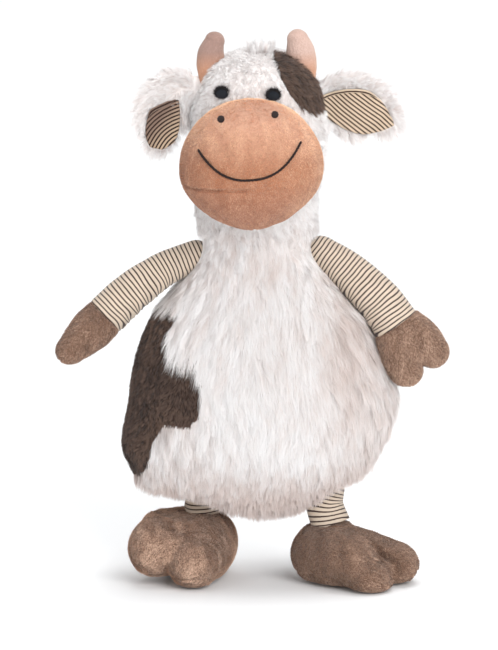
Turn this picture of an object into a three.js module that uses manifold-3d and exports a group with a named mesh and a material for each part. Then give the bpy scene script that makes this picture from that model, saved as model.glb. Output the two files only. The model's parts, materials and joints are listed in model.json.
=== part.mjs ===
// A stuffed plush cow, standing on its two feet and facing -Y, in millimetres, +Z up.
// Its right side lies at -X. Every cover is a shell of cloth with fibre filling inside it.
import * as THREE from 'three';
import { mergeVertices } from 'three/addons/utils/BufferGeometryUtils.js';
import Module from 'manifold-3d';

const wasm = await Module();
wasm.setup();

// Overall sizes, over the backing cloth without its pile
const BODY_WIDTH = 176;
const BODY_DEPTH = 104;
const BODY_HEIGHT = 184;
const BODY_UNDERSIDE = 55;
const HEAD_WIDTH = 90;
const HEAD_DEPTH = 92;
const HEAD_HEIGHT = 125;
const NECK_WIDTH = 70.4;
const NECK_DEPTH = 58.6;

// Cloth thicknesses and the room between pieces
const FUR_CLOTH = 3;
const VELOUR_CLOTH = 1.6;
const JERSEY_CLOTH = 1.4;
const SEAM_GAP = 0.3;
const JOINT_ROOM = 0.5;

// Muzzle
const MUZZLE_WIDTH = 96;
const MUZZLE_RISE = 47;
const MUZZLE_DROP = 40;
const MUZZLE_REACH = 48;
const MUZZLE_ROOT = 28;
const MUZZLE_SIDE_STEP = -5;
const MUZZLE_CROWN_DROP = 73;
const MUZZLE_ROLL = 3.5;
const CHIN_SEAM_DROP = 5;

// Face details
const EYE_WIDTH = 9;
const EYE_HEIGHT = 9;
const EYE_BULGE = 4;
const EYE_CROWN_DROP = 24;
const EYE_PLACES = { right: -25, left: 9.5 };
const NOSTRIL_SIZE = 5;
const NOSTRIL_SPACING = 36;
const NOSTRIL_RISE = 39;
const SMILE_WIDTH = 69;
const SMILE_RISE = 20;
const SMILE_CORD = 2;
const SMILE_LOW_POINT = 1;

// Horns and crown tuft
const HORN_PLACES = { right: -32, left: 29 };
const HORN_HEIGHT = 32;
const HORN_ROOT_CROWN_DROP = 24;
const HORN_ROOT_RADIUS = 9.5;
const HORN_MIDDLE_RADIUS = 9;
const HORN_TIP_RADIUS = 7;
const HORN_INWARD_LEAN = 3;
const TUFT_HEIGHT = 13;
const TUFT_RADIUS = 7;
const TUFT_TIP_RADIUS = 1.5;
const TUFT_ROOT_DEPTH = 4;
const TUFT_LEAN = 3;

// Ears
const EAR_LENGTH = 52;
const EAR_WIDTH = 36;
const EAR_THICKNESS = 9;
const EAR_ROOT_RADIUS = 7;
const EAR_RIM = 6;
const EAR_STANDOFF = 4;
const EAR_CROWN_DROP = { right: 40, left: 42 };
const EAR_RANGE = { right: [0, 45], left: [-45, 10] };

// Arms and hands
const SHOULDER_DROP = 14;
const SHOULDER_STANDOFF = 3;
const SHOULDER_RADIUS = 11;
const ARM_LIFT = 50;
const WRIST_ROOM = { right: 15, left: 4 };
const HAND_LENGTH = 43;
const HAND_LOBE_SPACING = 14;
const HAND_THICKNESS = 27;
const HAND_OVERLAP = 5;

// Legs and feet
const HIP_PLACES = { right: -37, left: 46 };
const HIP_HEIGHT = 62;
const HIP_RADIUS = 13.5;
const ANKLE_HEIGHT = 45;
const ANKLE_WAIST = 1;
const INSTEP_FLARE = 5;
const LEG_SWING = 15;
const FOOT_TOE_REACH = 58;
const FOOT_HEEL_REACH = 24;
const LEG_SETBACK = { right: 8, left: -6 };
const FOOT_LOBE_WIDTH = 40;
const FOOT_LOBE_SPACING = 24;
const FOOT_HEIGHT = 40;
const FOOT_TURN = { right: 25, left: 62 };
const SOLE_CUT = 0.5;

// Sides on a ring and rings along a form
const BODY_SIDES = 18;
const BODY_RINGS = 12;
const HEAD_SIDES = 16;
const HEAD_RINGS = 10;
const MUZZLE_SIDES = 16;
const MUZZLE_RINGS = 8;
const LIMB_SIDES = 10;
const SMALL_SIDES = 8;
const SOCKET_SIDES = 12;
const SMILE_STATIONS = 9;
const DOME_STEPS = [35, 68];
const LEAN_STEP = 0.01;
const HALVINGS = 30;

const X = new THREE.Vector3(1, 0, 0);
const Y = new THREE.Vector3(0, 1, 0);
const Z = new THREE.Vector3(0, 0, 1);
const SIDES = { right: -1, left: 1 };
const FAR = 1200;

const vec = (x, y, z) => new THREE.Vector3(x, y, z);
const NECK = BODY_UNDERSIDE + BODY_HEIGHT;
const CROWN = NECK + HEAD_HEIGHT;
const radians = THREE.MathUtils.degToRad;

// Solids from points and geometry
function solidOf(geometry) {
  const bare = geometry.clone();
  bare.deleteAttribute('normal');
  bare.deleteAttribute('uv');
  const merged = mergeVertices(bare, 1e-4);
  const mesh = new wasm.Mesh({
    numProp: 3,
    vertProperties: Float32Array.from(merged.attributes.position.array),
    triVerts: Uint32Array.from(merged.index.array),
  });
  return new wasm.Manifold(mesh);
}

function geometryOf(solid) {
  const { vertProperties, triVerts } = solid.getMesh();
  const geometry = new THREE.BufferGeometry();
  geometry.setAttribute('position', new THREE.BufferAttribute(Float32Array.from(vertProperties), 3));
  geometry.setIndex(new THREE.BufferAttribute(Uint32Array.from(triVerts), 1));
  geometry.computeVertexNormals();
  return geometry;
}

// A closed solid through rings of points, with a flat end on its first and last ring
function loft(rings) {
  const sides = rings[0].length;
  const points = rings.flat();
  const centre = (ring) => ring.reduce((sum, p) => sum.add(p), vec(0, 0, 0)).divideScalar(sides);
  points.push(centre(rings[0]), centre(rings[rings.length - 1]));
  const index = [];
  for (let r = 0; r + 1 < rings.length; r++) {
    for (let s = 0; s < sides; s++) {
      const a = r * sides + s;
      const b = r * sides + ((s + 1) % sides);
      index.push(a, b, b + sides, a, b + sides, a + sides);
    }
  }
  const last = (rings.length - 1) * sides;
  for (let s = 0; s < sides; s++) {
    const next = (s + 1) % sides;
    index.push(points.length - 2, next, s);
    index.push(points.length - 1, last + s, last + next);
  }
  let volume = 0;
  for (let i = 0; i < index.length; i += 3) {
    const [a, b, c] = [0, 1, 2].map((k) => points[index[i + k]]);
    volume += a.dot(b.clone().cross(c));
  }
  if (volume < 0) {
    index.reverse();
  }
  const geometry = new THREE.BufferGeometry();
  geometry.setAttribute('position', new THREE.Float32BufferAttribute(points.flatMap((p) => p.toArray()), 3));
  geometry.setIndex(index);
  return solidOf(geometry);
}

// The half of space ahead of a point, as a very large box
function ahead(point, direction) {
  const box = new THREE.BoxGeometry(FAR, FAR, FAR);
  box.translate(0, 0, FAR / 2);
  const turn = new THREE.Quaternion().setFromUnitVectors(Z, direction.clone().normalize());
  box.applyQuaternion(turn);
  box.translate(point.x, point.y, point.z);
  return solidOf(box);
}

function ellipsoid(centre, x, y, z, sides = 12) {
  const ball = new THREE.SphereGeometry(1, sides, Math.ceil(sides / 2));
  ball.scale(x, y, z);
  ball.translate(centre.x, centre.y, centre.z);
  return solidOf(ball);
}

function turned(solid, pivot, axis, degrees) {
  const matrix = new THREE.Matrix4().makeTranslation(pivot.x, pivot.y, pivot.z);
  matrix.multiply(new THREE.Matrix4().makeRotationAxis(axis, radians(degrees)));
  matrix.multiply(new THREE.Matrix4().makeTranslation(-pivot.x, -pivot.y, -pivot.z));
  return solid.transform(matrix.elements);
}

// The room that a limb sweeps as it turns about its pivot
function swept(solid, pivot, axis, angles) {
  return angles.map((a) => turned(solid, pivot, axis, a)).reduce((all, one) => all.add(one));
}

// Smooth values between stations, each a row of numbers
function smooth(stations, share) {
  const at = THREE.MathUtils.clamp(share, 0, 1) * (stations.length - 1);
  const i = Math.min(Math.floor(at), stations.length - 2);
  const f = at - i;
  const row = (k) => stations[THREE.MathUtils.clamp(k, 0, stations.length - 1)];
  return stations[0].map((_, n) => {
    const [a, b, c, d] = [row(i - 1)[n], row(i)[n], row(i + 1)[n], row(i + 2)[n]];
    const bend = (2 * a - 5 * b + 4 * c - d) * f * f + (3 * b - a - 3 * c + d) * f ** 3;
    return b + 0.5 * ((c - a) * f + bend);
  });
}

// An upright form: its shares of height, half width and half depth from the bottom up
// The body ends and the head starts at the size of the neck
const NECK_IN_BODY = [NECK_WIDTH / BODY_WIDTH, NECK_DEPTH / BODY_DEPTH];
const NECK_IN_HEAD = [NECK_WIDTH / HEAD_WIDTH, NECK_DEPTH / HEAD_DEPTH];
const BODY_SHAPE = [
  [0, 0.26, 0.22], [0.025, 0.56, 0.5], [0.09, 0.82, 0.76], [0.18, 0.965, 0.94], [0.29, 1, 1],
  [0.43, 0.985, 0.98], [0.57, 0.92, 0.89], [0.68, 0.82, 0.8], [0.78, 0.66, 0.69],
  [0.88, 0.5, 0.6], [0.95, NECK_IN_BODY[0] * 1.035, NECK_IN_BODY[1]], [1, ...NECK_IN_BODY],
];
const HEAD_SHAPE = [
  [0, ...NECK_IN_HEAD], [0.08, 0.84, 0.73], [0.2, 0.92, 0.86], [0.35, 0.98, 0.97], [0.52, 1, 1],
  [0.68, 0.97, 1], [0.82, 0.87, 0.95], [0.92, 0.68, 0.8], [0.98, 0.4, 0.5], [1, 0.14, 0.18],
];
const SECTION_POWER = 2.2;
const body = {
  shape: BODY_SHAPE, width: BODY_WIDTH, depth: BODY_DEPTH, height: BODY_HEIGHT, bottom: BODY_UNDERSIDE,
  sides: BODY_SIDES, rings: BODY_RINGS,
};
const head = {
  shape: HEAD_SHAPE, width: HEAD_WIDTH, depth: HEAD_DEPTH, height: HEAD_HEIGHT, bottom: NECK,
  sides: HEAD_SIDES, rings: HEAD_RINGS,
};

function uprightAt(form, share) {
  const [height, wide, deep] = smooth(form.shape, share);
  const z = form.bottom + height * form.height;
  return { z, wide: (wide * form.width) / 2, deep: (deep * form.depth) / 2 };
}

// Its outline from the side leans, so a thicker or thinner copy moves each ring square to that lean
function uprightForm(form, grow, openTop = grow, openBottom = grow) {
  const rings = [];
  for (let r = 0; r <= form.rings; r++) {
    const share = r / form.rings;
    const { z, wide, deep } = uprightAt(form, share);
    const near = (step) => uprightAt(form, THREE.MathUtils.clamp(share + step, 0, 1));
    const [below, above] = [near(-LEAN_STEP), near(LEAN_STEP)];
    const lean = new THREE.Vector2(above.wide - below.wide, above.z - below.z).normalize();
    const out = grow * lean.y;
    let lift = -grow * lean.x;
    if (r === 0) lift = -openBottom;
    if (r === form.rings) lift = openTop;
    const ring = [];
    for (let s = 0; s < form.sides; s++) {
      const angle = ((s + 0.5) / form.sides) * Math.PI * 2;
      const round = (value) => Math.sign(value) * Math.abs(value) ** (2 / SECTION_POWER);
      ring.push(vec((wide + out) * round(Math.cos(angle)), (deep + out) * round(Math.sin(angle)), z + lift));
    }
    rings.push(ring);
  }
  return loft(rings);
}

// Half width and half depth of an upright form at a height
function uprightSize(form, z) {
  let low = 0;
  let high = 1;
  for (let i = 0; i < HALVINGS; i++) {
    const middle = (low + high) / 2;
    if (uprightAt(form, middle).z < z) low = middle;
    else high = middle;
  }
  return uprightAt(form, low);
}

// Front of an upright form at a place seen from the front
function frontOf(form, x, z) {
  const { wide, deep } = uprightSize(form, z);
  return -deep * Math.max(0, 1 - Math.abs(x / wide) ** SECTION_POWER) ** (1 / SECTION_POWER);
}

// The muzzle: an outline seen from the front, narrowing to a domed front
const MUZZLE_DOME = [
  [0, 0.72], [0.2, 0.93], [0.42, 1], [0.6, 0.96], [0.76, 0.86], [0.88, 0.69], [0.96, 0.45], [1, 0.14],
];
const CHIN_TAPER = 0.2;
const muzzleCentre = vec(MUZZLE_SIDE_STEP, -HEAD_DEPTH / 2, CROWN - MUZZLE_CROWN_DROP);

function muzzlePoint(angle, scale, y, grow) {
  const up = Math.sin(angle);
  const taper = up < 0 ? 1 - CHIN_TAPER * up * up : 1;
  const x = (MUZZLE_WIDTH / 2) * scale * Math.cos(angle) * taper + grow * Math.cos(angle);
  const z = (up > 0 ? MUZZLE_RISE : MUZZLE_DROP) * scale * up + grow * up;
  return vec(x, 0, z).applyAxisAngle(Y, radians(-MUZZLE_ROLL)).add(vec(muzzleCentre.x, y, muzzleCentre.z));
}

function muzzleForm(grow) {
  const rings = [];
  for (let r = 0; r <= MUZZLE_RINGS; r++) {
    const [reach, scale] = smooth(MUZZLE_DOME, r / MUZZLE_RINGS);
    const front = (MUZZLE_ROOT + MUZZLE_REACH) * reach - MUZZLE_ROOT + (r === MUZZLE_RINGS ? grow : 0);
    const ring = [];
    for (let s = 0; s < MUZZLE_SIDES; s++) {
      ring.push(muzzlePoint((s / MUZZLE_SIDES) * Math.PI * 2, scale, muzzleCentre.y - front, grow));
    }
    rings.push(ring);
  }
  return loft(rings);
}

// A point on the front of the muzzle, given beside and above its centre
function onMuzzle(x, up) {
  const angle = Math.atan2(up / (up > 0 ? MUZZLE_RISE : MUZZLE_DROP), x / (MUZZLE_WIDTH / 2));
  const wanted = Math.hypot(x, up);
  const rim = muzzlePoint(angle, 1, muzzleCentre.y, 0).distanceTo(muzzleCentre);
  let low = 0.42;
  let high = 1;
  for (let i = 0; i < HALVINGS; i++) {
    const middle = (low + high) / 2;
    if (smooth(MUZZLE_DOME, middle)[1] * rim > wanted) low = middle;
    else high = middle;
  }
  const [reach] = smooth(MUZZLE_DOME, low);
  const front = (MUZZLE_ROOT + MUZZLE_REACH) * reach - MUZZLE_ROOT;
  return muzzlePoint(angle, wanted / rim, muzzleCentre.y - front, 0);
}

// A limb: a tube of changing width and depth along a smooth line, its ends round or flat
function limbForm({ line, sizes, across, steps, roundStart, roundEnd, sides = LIMB_SIDES }, grow, past = 0) {
  const curve = new THREE.CatmullRomCurve3(line);
  const rings = [];
  const ring = (centre, along, wide, deep) => {
    const side = across.clone().addScaledVector(along, -across.dot(along)).normalize();
    const third = along.clone().cross(side);
    return Array.from({ length: sides }, (_, s) => {
      const angle = ((s + 0.5) / sides) * Math.PI * 2;
      const out = side.clone().multiplyScalar(wide * Math.cos(angle));
      return out.addScaledVector(third, deep * Math.sin(angle)).add(centre);
    });
  };
  const dome = (centre, along, wide, deep, sign) => DOME_STEPS.map((degrees) => {
    const a = radians(degrees);
    const middle = centre.clone().addScaledVector(along, sign * Math.max(wide, deep) * Math.sin(a));
    return ring(middle, along, wide * Math.cos(a), deep * Math.cos(a));
  });
  for (let i = 0; i <= steps; i++) {
    const share = i / steps;
    const [wide, deep] = smooth(sizes, share).map((size) => size + grow);
    const centre = curve.getPoint(share);
    const along = curve.getTangent(share);
    if (i === 0 && roundStart) rings.push(...dome(centre, along, wide, deep, -1).reverse());
    if (i === 0 && !roundStart) centre.addScaledVector(along, -past);
    if (i === steps && !roundEnd) centre.addScaledVector(along, past);
    rings.push(ring(centre, along, wide, deep));
    if (i === steps && roundEnd) rings.push(...dome(centre, along, wide, deep, 1));
  }
  return loft(rings);
}

// A cloven hoof: two lobes side by side that part towards the tip
// Each station gives its place along the hoof and its shares of spacing, width and thickness
function hoof({ root, along, across, length, spacing, wide, deep, back = 0, level = false, sides }, grow) {
  const stations = [[-back, 0.3, 0.92, 1], [length * 0.3, 0.42, 1.04, 0.98], [length - wide, 0.5, 0.9, 0.72]];
  const lobes = [-1, 1].map((sign) => limbForm({
    line: stations.map(([forward, apart, , thick]) => root.clone()
      .addScaledVector(along, forward)
      .addScaledVector(across, sign * apart * spacing)
      .addScaledVector(Z, level ? -deep * (1 - thick) : 0)),
    sizes: stations.map(([, , broad, thick]) => [wide * broad, deep * thick]),
    across, steps: 2, roundStart: true, roundEnd: true, sides,
  }, grow));
  return lobes[0].add(lobes[1]);
}

// The scene graph: moving groups turn about their pivots
const cow = new THREE.Group();
const finish = (color, roughness) => new THREE.MeshStandardMaterial({ color, roughness, metalness: 0 });
const WHITE_FUR = 0xf0eae8;
const BROWN_FUR = 0x463630;
const PEACH_VELOUR = 0xd79470;
const HORN_VELOUR = 0xd8ab98;
const TAUPE_VELOUR = 0x9a7964;
const STRIPED_JERSEY = 0xd8c7af;
const THREAD_BLACK = 0x22252c;
const THREAD_BROWN = 0x33211c;
const FIBRE = 0xf6f6f2;

const placeOf = (group) => group.getWorldPosition(vec(0, 0, 0));

function movingGroup(pivot, parent = cow) {
  const group = new THREE.Group();
  group.position.copy(pivot).sub(placeOf(parent));
  parent.add(group);
  return group;
}

function piece(group, name, solid, color, roughness) {
  const geometry = geometryOf(solid);
  const place = placeOf(group);
  geometry.translate(-place.x, -place.y, -place.z);
  const mesh = new THREE.Mesh(geometry, finish(color, roughness));
  mesh.name = name;
  group.add(mesh);
}

// Arms: a striped sleeve with a ball root in the shoulder, and a cloven hand at the wrist
// Each wrist stands clear of the widest part of the body, so a wider body stretches the lines sideways
const ARM_LINES = {
  right: [vec(0, 0, 0), vec(-20, -3, -9), vec(-34, -6, -19), vec(-48, -8, -30), vec(-62, -10, -41)],
  left: [vec(0, 0, 0), vec(14, -3, -11), vec(27, -6, -23), vec(39, -8, -35), vec(50, -10, -46)],
};
const ARM_SWELL = { right: [11, 11, 12.5, 13, 13.5], left: [11, 11.5, 13.2, 14.2, 15] };
const HAND_SPREAD = { right: vec(0.25, 0.95, 0), left: vec(0.8, 0.45, 0.35) };

function armParts(side) {
  const z = NECK - SHOULDER_DROP;
  const { wide } = uprightSize(body, z);
  const pivot = vec(SIDES[side] * (wide + SHOULDER_STANDOFF), 0, z);
  const points = ARM_LINES[side];
  const wristPlace = BODY_WIDTH / 2 + WRIST_ROOM[side] - Math.abs(pivot.x);
  const stretch = wristPlace / Math.abs(points[points.length - 1].x);
  const line = points.map((p) => vec(p.x * stretch, p.y, p.z).add(pivot));
  const wrist = line[line.length - 1];
  const along = new THREE.CatmullRomCurve3(line).getTangent(1);
  const sizes = ARM_SWELL[side].map((r, i) => (i === 0 ? [SHOULDER_RADIUS, SHOULDER_RADIUS] : [r, r]));
  const sleeve = { line, sizes, across: Y, steps: 6, roundStart: true, roundEnd: false };
  const wristRadius = sizes[sizes.length - 1][0];
  const across = HAND_SPREAD[side].clone().addScaledVector(along, -HAND_SPREAD[side].dot(along)).normalize();
  const hand = {
    root: wrist.clone().addScaledVector(along, HAND_OVERLAP), along, across,
    length: HAND_LENGTH - HAND_OVERLAP,
    spacing: HAND_LOBE_SPACING, wide: wristRadius * 0.84, deep: HAND_THICKNESS / 2, sides: SMALL_SIDES,
  };
  return { pivot, sleeve, wrist, along, hand };
}

function buildArm(side) {
  const { pivot, sleeve, wrist, along, hand } = armParts(side);
  const group = movingGroup(pivot);
  const past = JERSEY_CLOTH + SEAM_GAP;
  const shell = limbForm(sleeve, 0).subtract(limbForm(sleeve, -JERSEY_CLOTH, past));
  piece(group, `arm_sleeve_${side}`, shell, STRIPED_JERSEY, 0.85);
  piece(group, `arm_filling_${side}`, limbForm(sleeve, -past), FIBRE, 1);
  const wristCut = ahead(wrist.clone().addScaledVector(along, SEAM_GAP), along);
  const outer = hoof(hand, 0).intersect(wristCut);
  const inner = hoof(hand, -VELOUR_CLOTH);
  piece(group, `hand_hoof_${side}`, outer.subtract(inner), TAUPE_VELOUR, 0.8);
  const filling = hoof(hand, -VELOUR_CLOTH - SEAM_GAP).intersect(wristCut);
  piece(group, `hand_filling_${side}`, filling, FIBRE, 1);
}

// Legs: a short striped sleeve with a ball root in the body, and a cloven foot with a flat sole
const footAim = (side) => {
  const turn = radians(FOOT_TURN[side]);
  return vec(SIDES[side] * Math.sin(turn), -Math.cos(turn), 0);
};

function legParts(side) {
  const pivot = vec(HIP_PLACES[side], LEG_SETBACK[side], HIP_HEIGHT);
  const at = (height) => vec(pivot.x, pivot.y, height);
  const ankle = at(ANKLE_HEIGHT);
  const sleeve = {
    line: [pivot, pivot.clone().lerp(ankle, 0.5), ankle],
    sizes: [HIP_RADIUS, HIP_RADIUS - ANKLE_WAIST, HIP_RADIUS].map((r) => [r, r]),
    across: Y, steps: 3, roundStart: true, roundEnd: false,
  };
  const along = footAim(side);
  const foot = {
    root: at(FOOT_HEIGHT / 2 - SOLE_CUT), along, across: along.clone().cross(Z),
    length: FOOT_TOE_REACH, spacing: FOOT_LOBE_SPACING, wide: FOOT_LOBE_WIDTH / 2, deep: FOOT_HEIGHT / 2,
    back: FOOT_HEEL_REACH - FOOT_LOBE_WIDTH / 2, level: true, sides: LIMB_SIDES,
  };
  const instep = {
    line: [at(FOOT_HEIGHT / 2), ankle],
    sizes: [HIP_RADIUS + INSTEP_FLARE, HIP_RADIUS].map((r) => [r, r]),
    across: Y, steps: 2, roundStart: false, roundEnd: false,
  };
  return { pivot, ankle, sleeve, foot, instep };
}

function buildLeg(side) {
  const { pivot, ankle, sleeve, foot, instep } = legParts(side);
  const group = movingGroup(pivot);
  const past = JERSEY_CLOTH + SEAM_GAP;
  const shell = limbForm(sleeve, 0).subtract(limbForm(sleeve, -JERSEY_CLOTH, past));
  piece(group, `leg_sleeve_${side}`, shell, STRIPED_JERSEY, 0.85);
  piece(group, `leg_filling_${side}`, limbForm(sleeve, -past), FIBRE, 1);
  const form = (grow, past2) => hoof(foot, grow).add(limbForm(instep, grow, past2));
  const belowAnkle = ahead(vec(0, 0, ankle.z - SEAM_GAP), Z.clone().negate());
  const room = (floor) => ahead(vec(0, 0, floor), Z).intersect(belowAnkle);
  const outer = form(0, 0).intersect(room(0));
  const inner = form(-VELOUR_CLOTH, past).intersect(ahead(vec(0, 0, VELOUR_CLOTH), Z));
  piece(group, `foot_hoof_${side}`, outer.subtract(inner), TAUPE_VELOUR, 0.8);
  const filling = form(-VELOUR_CLOTH - SEAM_GAP, 0).intersect(room(VELOUR_CLOTH + SEAM_GAP));
  piece(group, `foot_filling_${side}`, filling, FIBRE, 1);
}

// Body: a front and a back panel of long fur, a brown patch round its right side, and the filling
const SEAM_PLANE = 4;
const PATCH_OUTLINE = [
  [-0.55, 0.73], [-0.66, 0.66], [-0.645, 0.585], [-0.44, 0.565], [-0.4, 0.5], [-0.42, 0.38],
  [-0.5, 0.345], [-0.68, 0.335], [-0.74, 0.24], [-0.78, 0.14], [-0.9, 0.1], [-1.3, 0.2], [-1.3, 0.73],
];

function plate(outline, from, to) {
  const shape = new THREE.Shape(outline.map(([x, z]) => new THREE.Vector2(x, z)));
  const slab = new THREE.ExtrudeGeometry(shape, { depth: to - from, bevelEnabled: false });
  slab.rotateX(Math.PI / 2);
  slab.translate(0, to, 0);
  return solidOf(slab);
}

// An outline drawn outward or inward by a distance, corner by corner
function offsetOutline(outline, distance) {
  const area = outline.reduce((sum, [x, y], i) => {
    const [u, v] = outline[(i + 1) % outline.length];
    return sum + x * v - u * y;
  }, 0);
  return outline.map((_, i) => {
    const [a, b, c] = [-1, 0, 1].map((k) => new THREE.Vector2(...outline.at((i + k) % outline.length)));
    const into = b.clone().sub(a).normalize();
    const out = c.clone().sub(b).normalize();
    const normal = vec(into.y + out.y, -into.x - out.x, 0).normalize().multiplyScalar(Math.sign(area));
    const share = Math.max(0.5, normal.x * out.y * Math.sign(area) - normal.y * out.x * Math.sign(area));
    return [b.x + (normal.x * distance) / share, b.y + (normal.y * distance) / share];
  });
}

// The room in a larger form for a limb's ball root and for its stem as it turns
function socket(limb, pivot, axis, angles) {
  const facets = Math.cos(Math.PI / SOCKET_SIDES);
  const [wide, deep] = limb.sizes[0].map((size) => (size + JOINT_ROOM) / facets);
  const stem = limbForm({ ...limb, roundStart: false, steps: 4 }, JOINT_ROOM);
  return swept(stem, pivot, axis, angles).add(ellipsoid(pivot, deep, wide, deep, SOCKET_SIDES));
}

const liftAxis = (side) => (SIDES[side] < 0 ? Y.clone() : Y.clone().negate());

function limbRoom() {
  const rooms = [];
  for (const side of Object.keys(SIDES)) {
    const arm = armParts(side);
    rooms.push(socket(arm.sleeve, arm.pivot, liftAxis(side), [0]));
    const leg = legParts(side);
    rooms.push(socket(leg.sleeve, leg.pivot, X, [-LEG_SWING, LEG_SWING]));
  }
  return rooms.reduce((all, one) => all.add(one));
}

function buildBody() {
  const room = limbRoom();
  const below = ahead(vec(0, 0, NECK - SEAM_GAP), Z.clone().negate());
  const outer = uprightForm(body, 0).intersect(below).subtract(room);
  const cover = outer.subtract(uprightForm(body, -FUR_CLOTH, FUR_CLOTH));
  const filling = uprightForm(body, -FUR_CLOTH - SEAM_GAP, FUR_CLOTH).intersect(below).subtract(room);
  const outline = PATCH_OUTLINE.map(([x, z]) => [(x * BODY_WIDTH) / 2, BODY_UNDERSIDE + z * BODY_HEIGHT]);
  const patch = plate(outline, -FAR / 2, FAR / 2);
  const patchHole = plate(offsetOutline(outline, SEAM_GAP), -FAR / 2, FAR / 2);
  const white = cover.subtract(patchHole);
  const front = ahead(vec(0, SEAM_PLANE - SEAM_GAP / 2, 0), Y.clone().negate());
  const back = ahead(vec(0, SEAM_PLANE + SEAM_GAP / 2, 0), Y);
  piece(cow, 'body_front_cover', white.intersect(front), WHITE_FUR, 0.95);
  piece(cow, 'body_back_cover', white.intersect(back), WHITE_FUR, 0.95);
  piece(cow, 'body_patch', cover.intersect(patch), BROWN_FUR, 0.9);
  piece(cow, 'body_filling', filling, FIBRE, 1);
}

// Head: a face and a back panel of short fur, a brown patch over one side, and the filling
const HEAD_SEAM_PLANE = 0;
const HEAD_PATCH_OUTLINE = [
  [0.18, 1.2], [0.22, 1], [0.34, 0.925], [0.476, 0.831], [0.756, 0.7], [1.2, 0.66], [1.2, 1.2],
];

function earParts(side) {
  const sign = SIDES[side];
  const z = CROWN - EAR_CROWN_DROP[side];
  const pivot = vec(sign * (uprightSize(head, z).wide + EAR_STANDOFF), 0, z);
  const droop = side === 'right' ? [[0, 0], [0.26, -0.1], [0.42, -0.38], [0.46, -0.72]]
    : [[0, 0], [0.27, -0.01], [0.56, -0.06], [0.8, -0.13]];
  const line = droop.map(([out, up]) => pivot.clone().add(vec(sign * out * EAR_LENGTH, 0, up * EAR_LENGTH)));
  const halves = [EAR_ROOT_RADIUS, EAR_WIDTH * 0.4, EAR_WIDTH / 2, EAR_WIDTH * 0.27];
  const common = { line, across: Y, steps: 5, sides: SMALL_SIDES };
  const ear = {
    ...common, sizes: halves.map((half) => [EAR_THICKNESS / 2, half]), roundStart: true, roundEnd: true,
  };
  const lining = {
    ...common, sizes: halves.map((half) => [EAR_WIDTH, half - EAR_RIM]), roundStart: false, roundEnd: false,
  };
  return { pivot, ear, lining };
}

function buildEar(side, headGroup) {
  const { pivot, ear, lining } = earParts(side);
  const group = movingGroup(pivot, headGroup);
  const whole = limbForm(ear, 0);
  const behind = (distance) => whole.translate(0, distance, 0);
  const inside = limbForm(lining, 0).intersect(whole).subtract(behind(JERSEY_CLOTH));
  const hollow = limbForm(lining, SEAM_GAP, SEAM_GAP).subtract(behind(JERSEY_CLOTH + SEAM_GAP));
  piece(group, `ear_back_${side}`, whole.subtract(hollow), WHITE_FUR, 0.95);
  piece(group, `ear_lining_${side}`, inside, STRIPED_JERSEY, 0.85);
}

function buildHorn(side, headGroup, clearOfHead) {
  const sign = SIDES[side];
  const root = vec(HORN_PLACES[side], 0, CROWN - HORN_ROOT_CROWN_DROP);
  const place = (up, out) => root.clone().add(vec(sign * out * HORN_INWARD_LEAN, 0, up * HORN_HEIGHT));
  const horn = {
    line: [place(0, 0), place(0.5, 0.1), place(1, -1)],
    sizes: [HORN_ROOT_RADIUS, HORN_MIDDLE_RADIUS, HORN_TIP_RADIUS].map((r) => [r, r]),
    across: Y, steps: 3, roundStart: false, roundEnd: true, sides: SMALL_SIDES,
  };
  const shell = limbForm(horn, 0).subtract(limbForm(horn, -VELOUR_CLOTH, 1));
  piece(headGroup, `horn_cover_${side}`, shell.subtract(clearOfHead), HORN_VELOUR, 0.8);
  const filling = limbForm(horn, -VELOUR_CLOTH - SEAM_GAP).subtract(clearOfHead);
  piece(headGroup, `horn_filling_${side}`, filling, FIBRE, 1);
}

function buildMuzzle(headGroup, clearOfHead) {
  const cover = muzzleForm(0).subtract(muzzleForm(-VELOUR_CLOTH)).subtract(clearOfHead);
  const roll = radians(-MUZZLE_ROLL);
  const up = Z.clone().applyAxisAngle(Y, roll);
  const seam = (shift) => muzzleCentre.clone().addScaledVector(up, shift - CHIN_SEAM_DROP);
  piece(headGroup, 'muzzle_upper', cover.intersect(ahead(seam(SEAM_GAP / 2), up)), PEACH_VELOUR, 0.8);
  const below = ahead(seam(-SEAM_GAP / 2), up.clone().negate());
  piece(headGroup, 'muzzle_chin', cover.intersect(below), PEACH_VELOUR, 0.8);
  const bare = uprightForm(head, -FUR_CLOTH);
  piece(headGroup, 'muzzle_filling', muzzleForm(-VELOUR_CLOTH - SEAM_GAP).subtract(bare), FIBRE, 1);
}

function buildSmile(headGroup) {
  const places = Array.from({ length: SMILE_STATIONS }, (_, i) => {
    const aside = (i / (SMILE_STATIONS - 1)) * 2 - 1;
    return onMuzzle((aside * SMILE_WIDTH) / 2, SMILE_RISE * aside * aside + SMILE_LOW_POINT);
  });
  const round = new THREE.Shape();
  round.absarc(0, 0, SMILE_CORD / 2, 0, Math.PI * 2);
  const cord = new THREE.ExtrudeGeometry(round, {
    steps: 14, curveSegments: 3, bevelEnabled: false, extrudePath: new THREE.CatmullRomCurve3(places),
  });
  piece(headGroup, 'smile_stitch', solidOf(cord).subtract(muzzleForm(SEAM_GAP)), THREAD_BROWN, 0.8);
}

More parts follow.
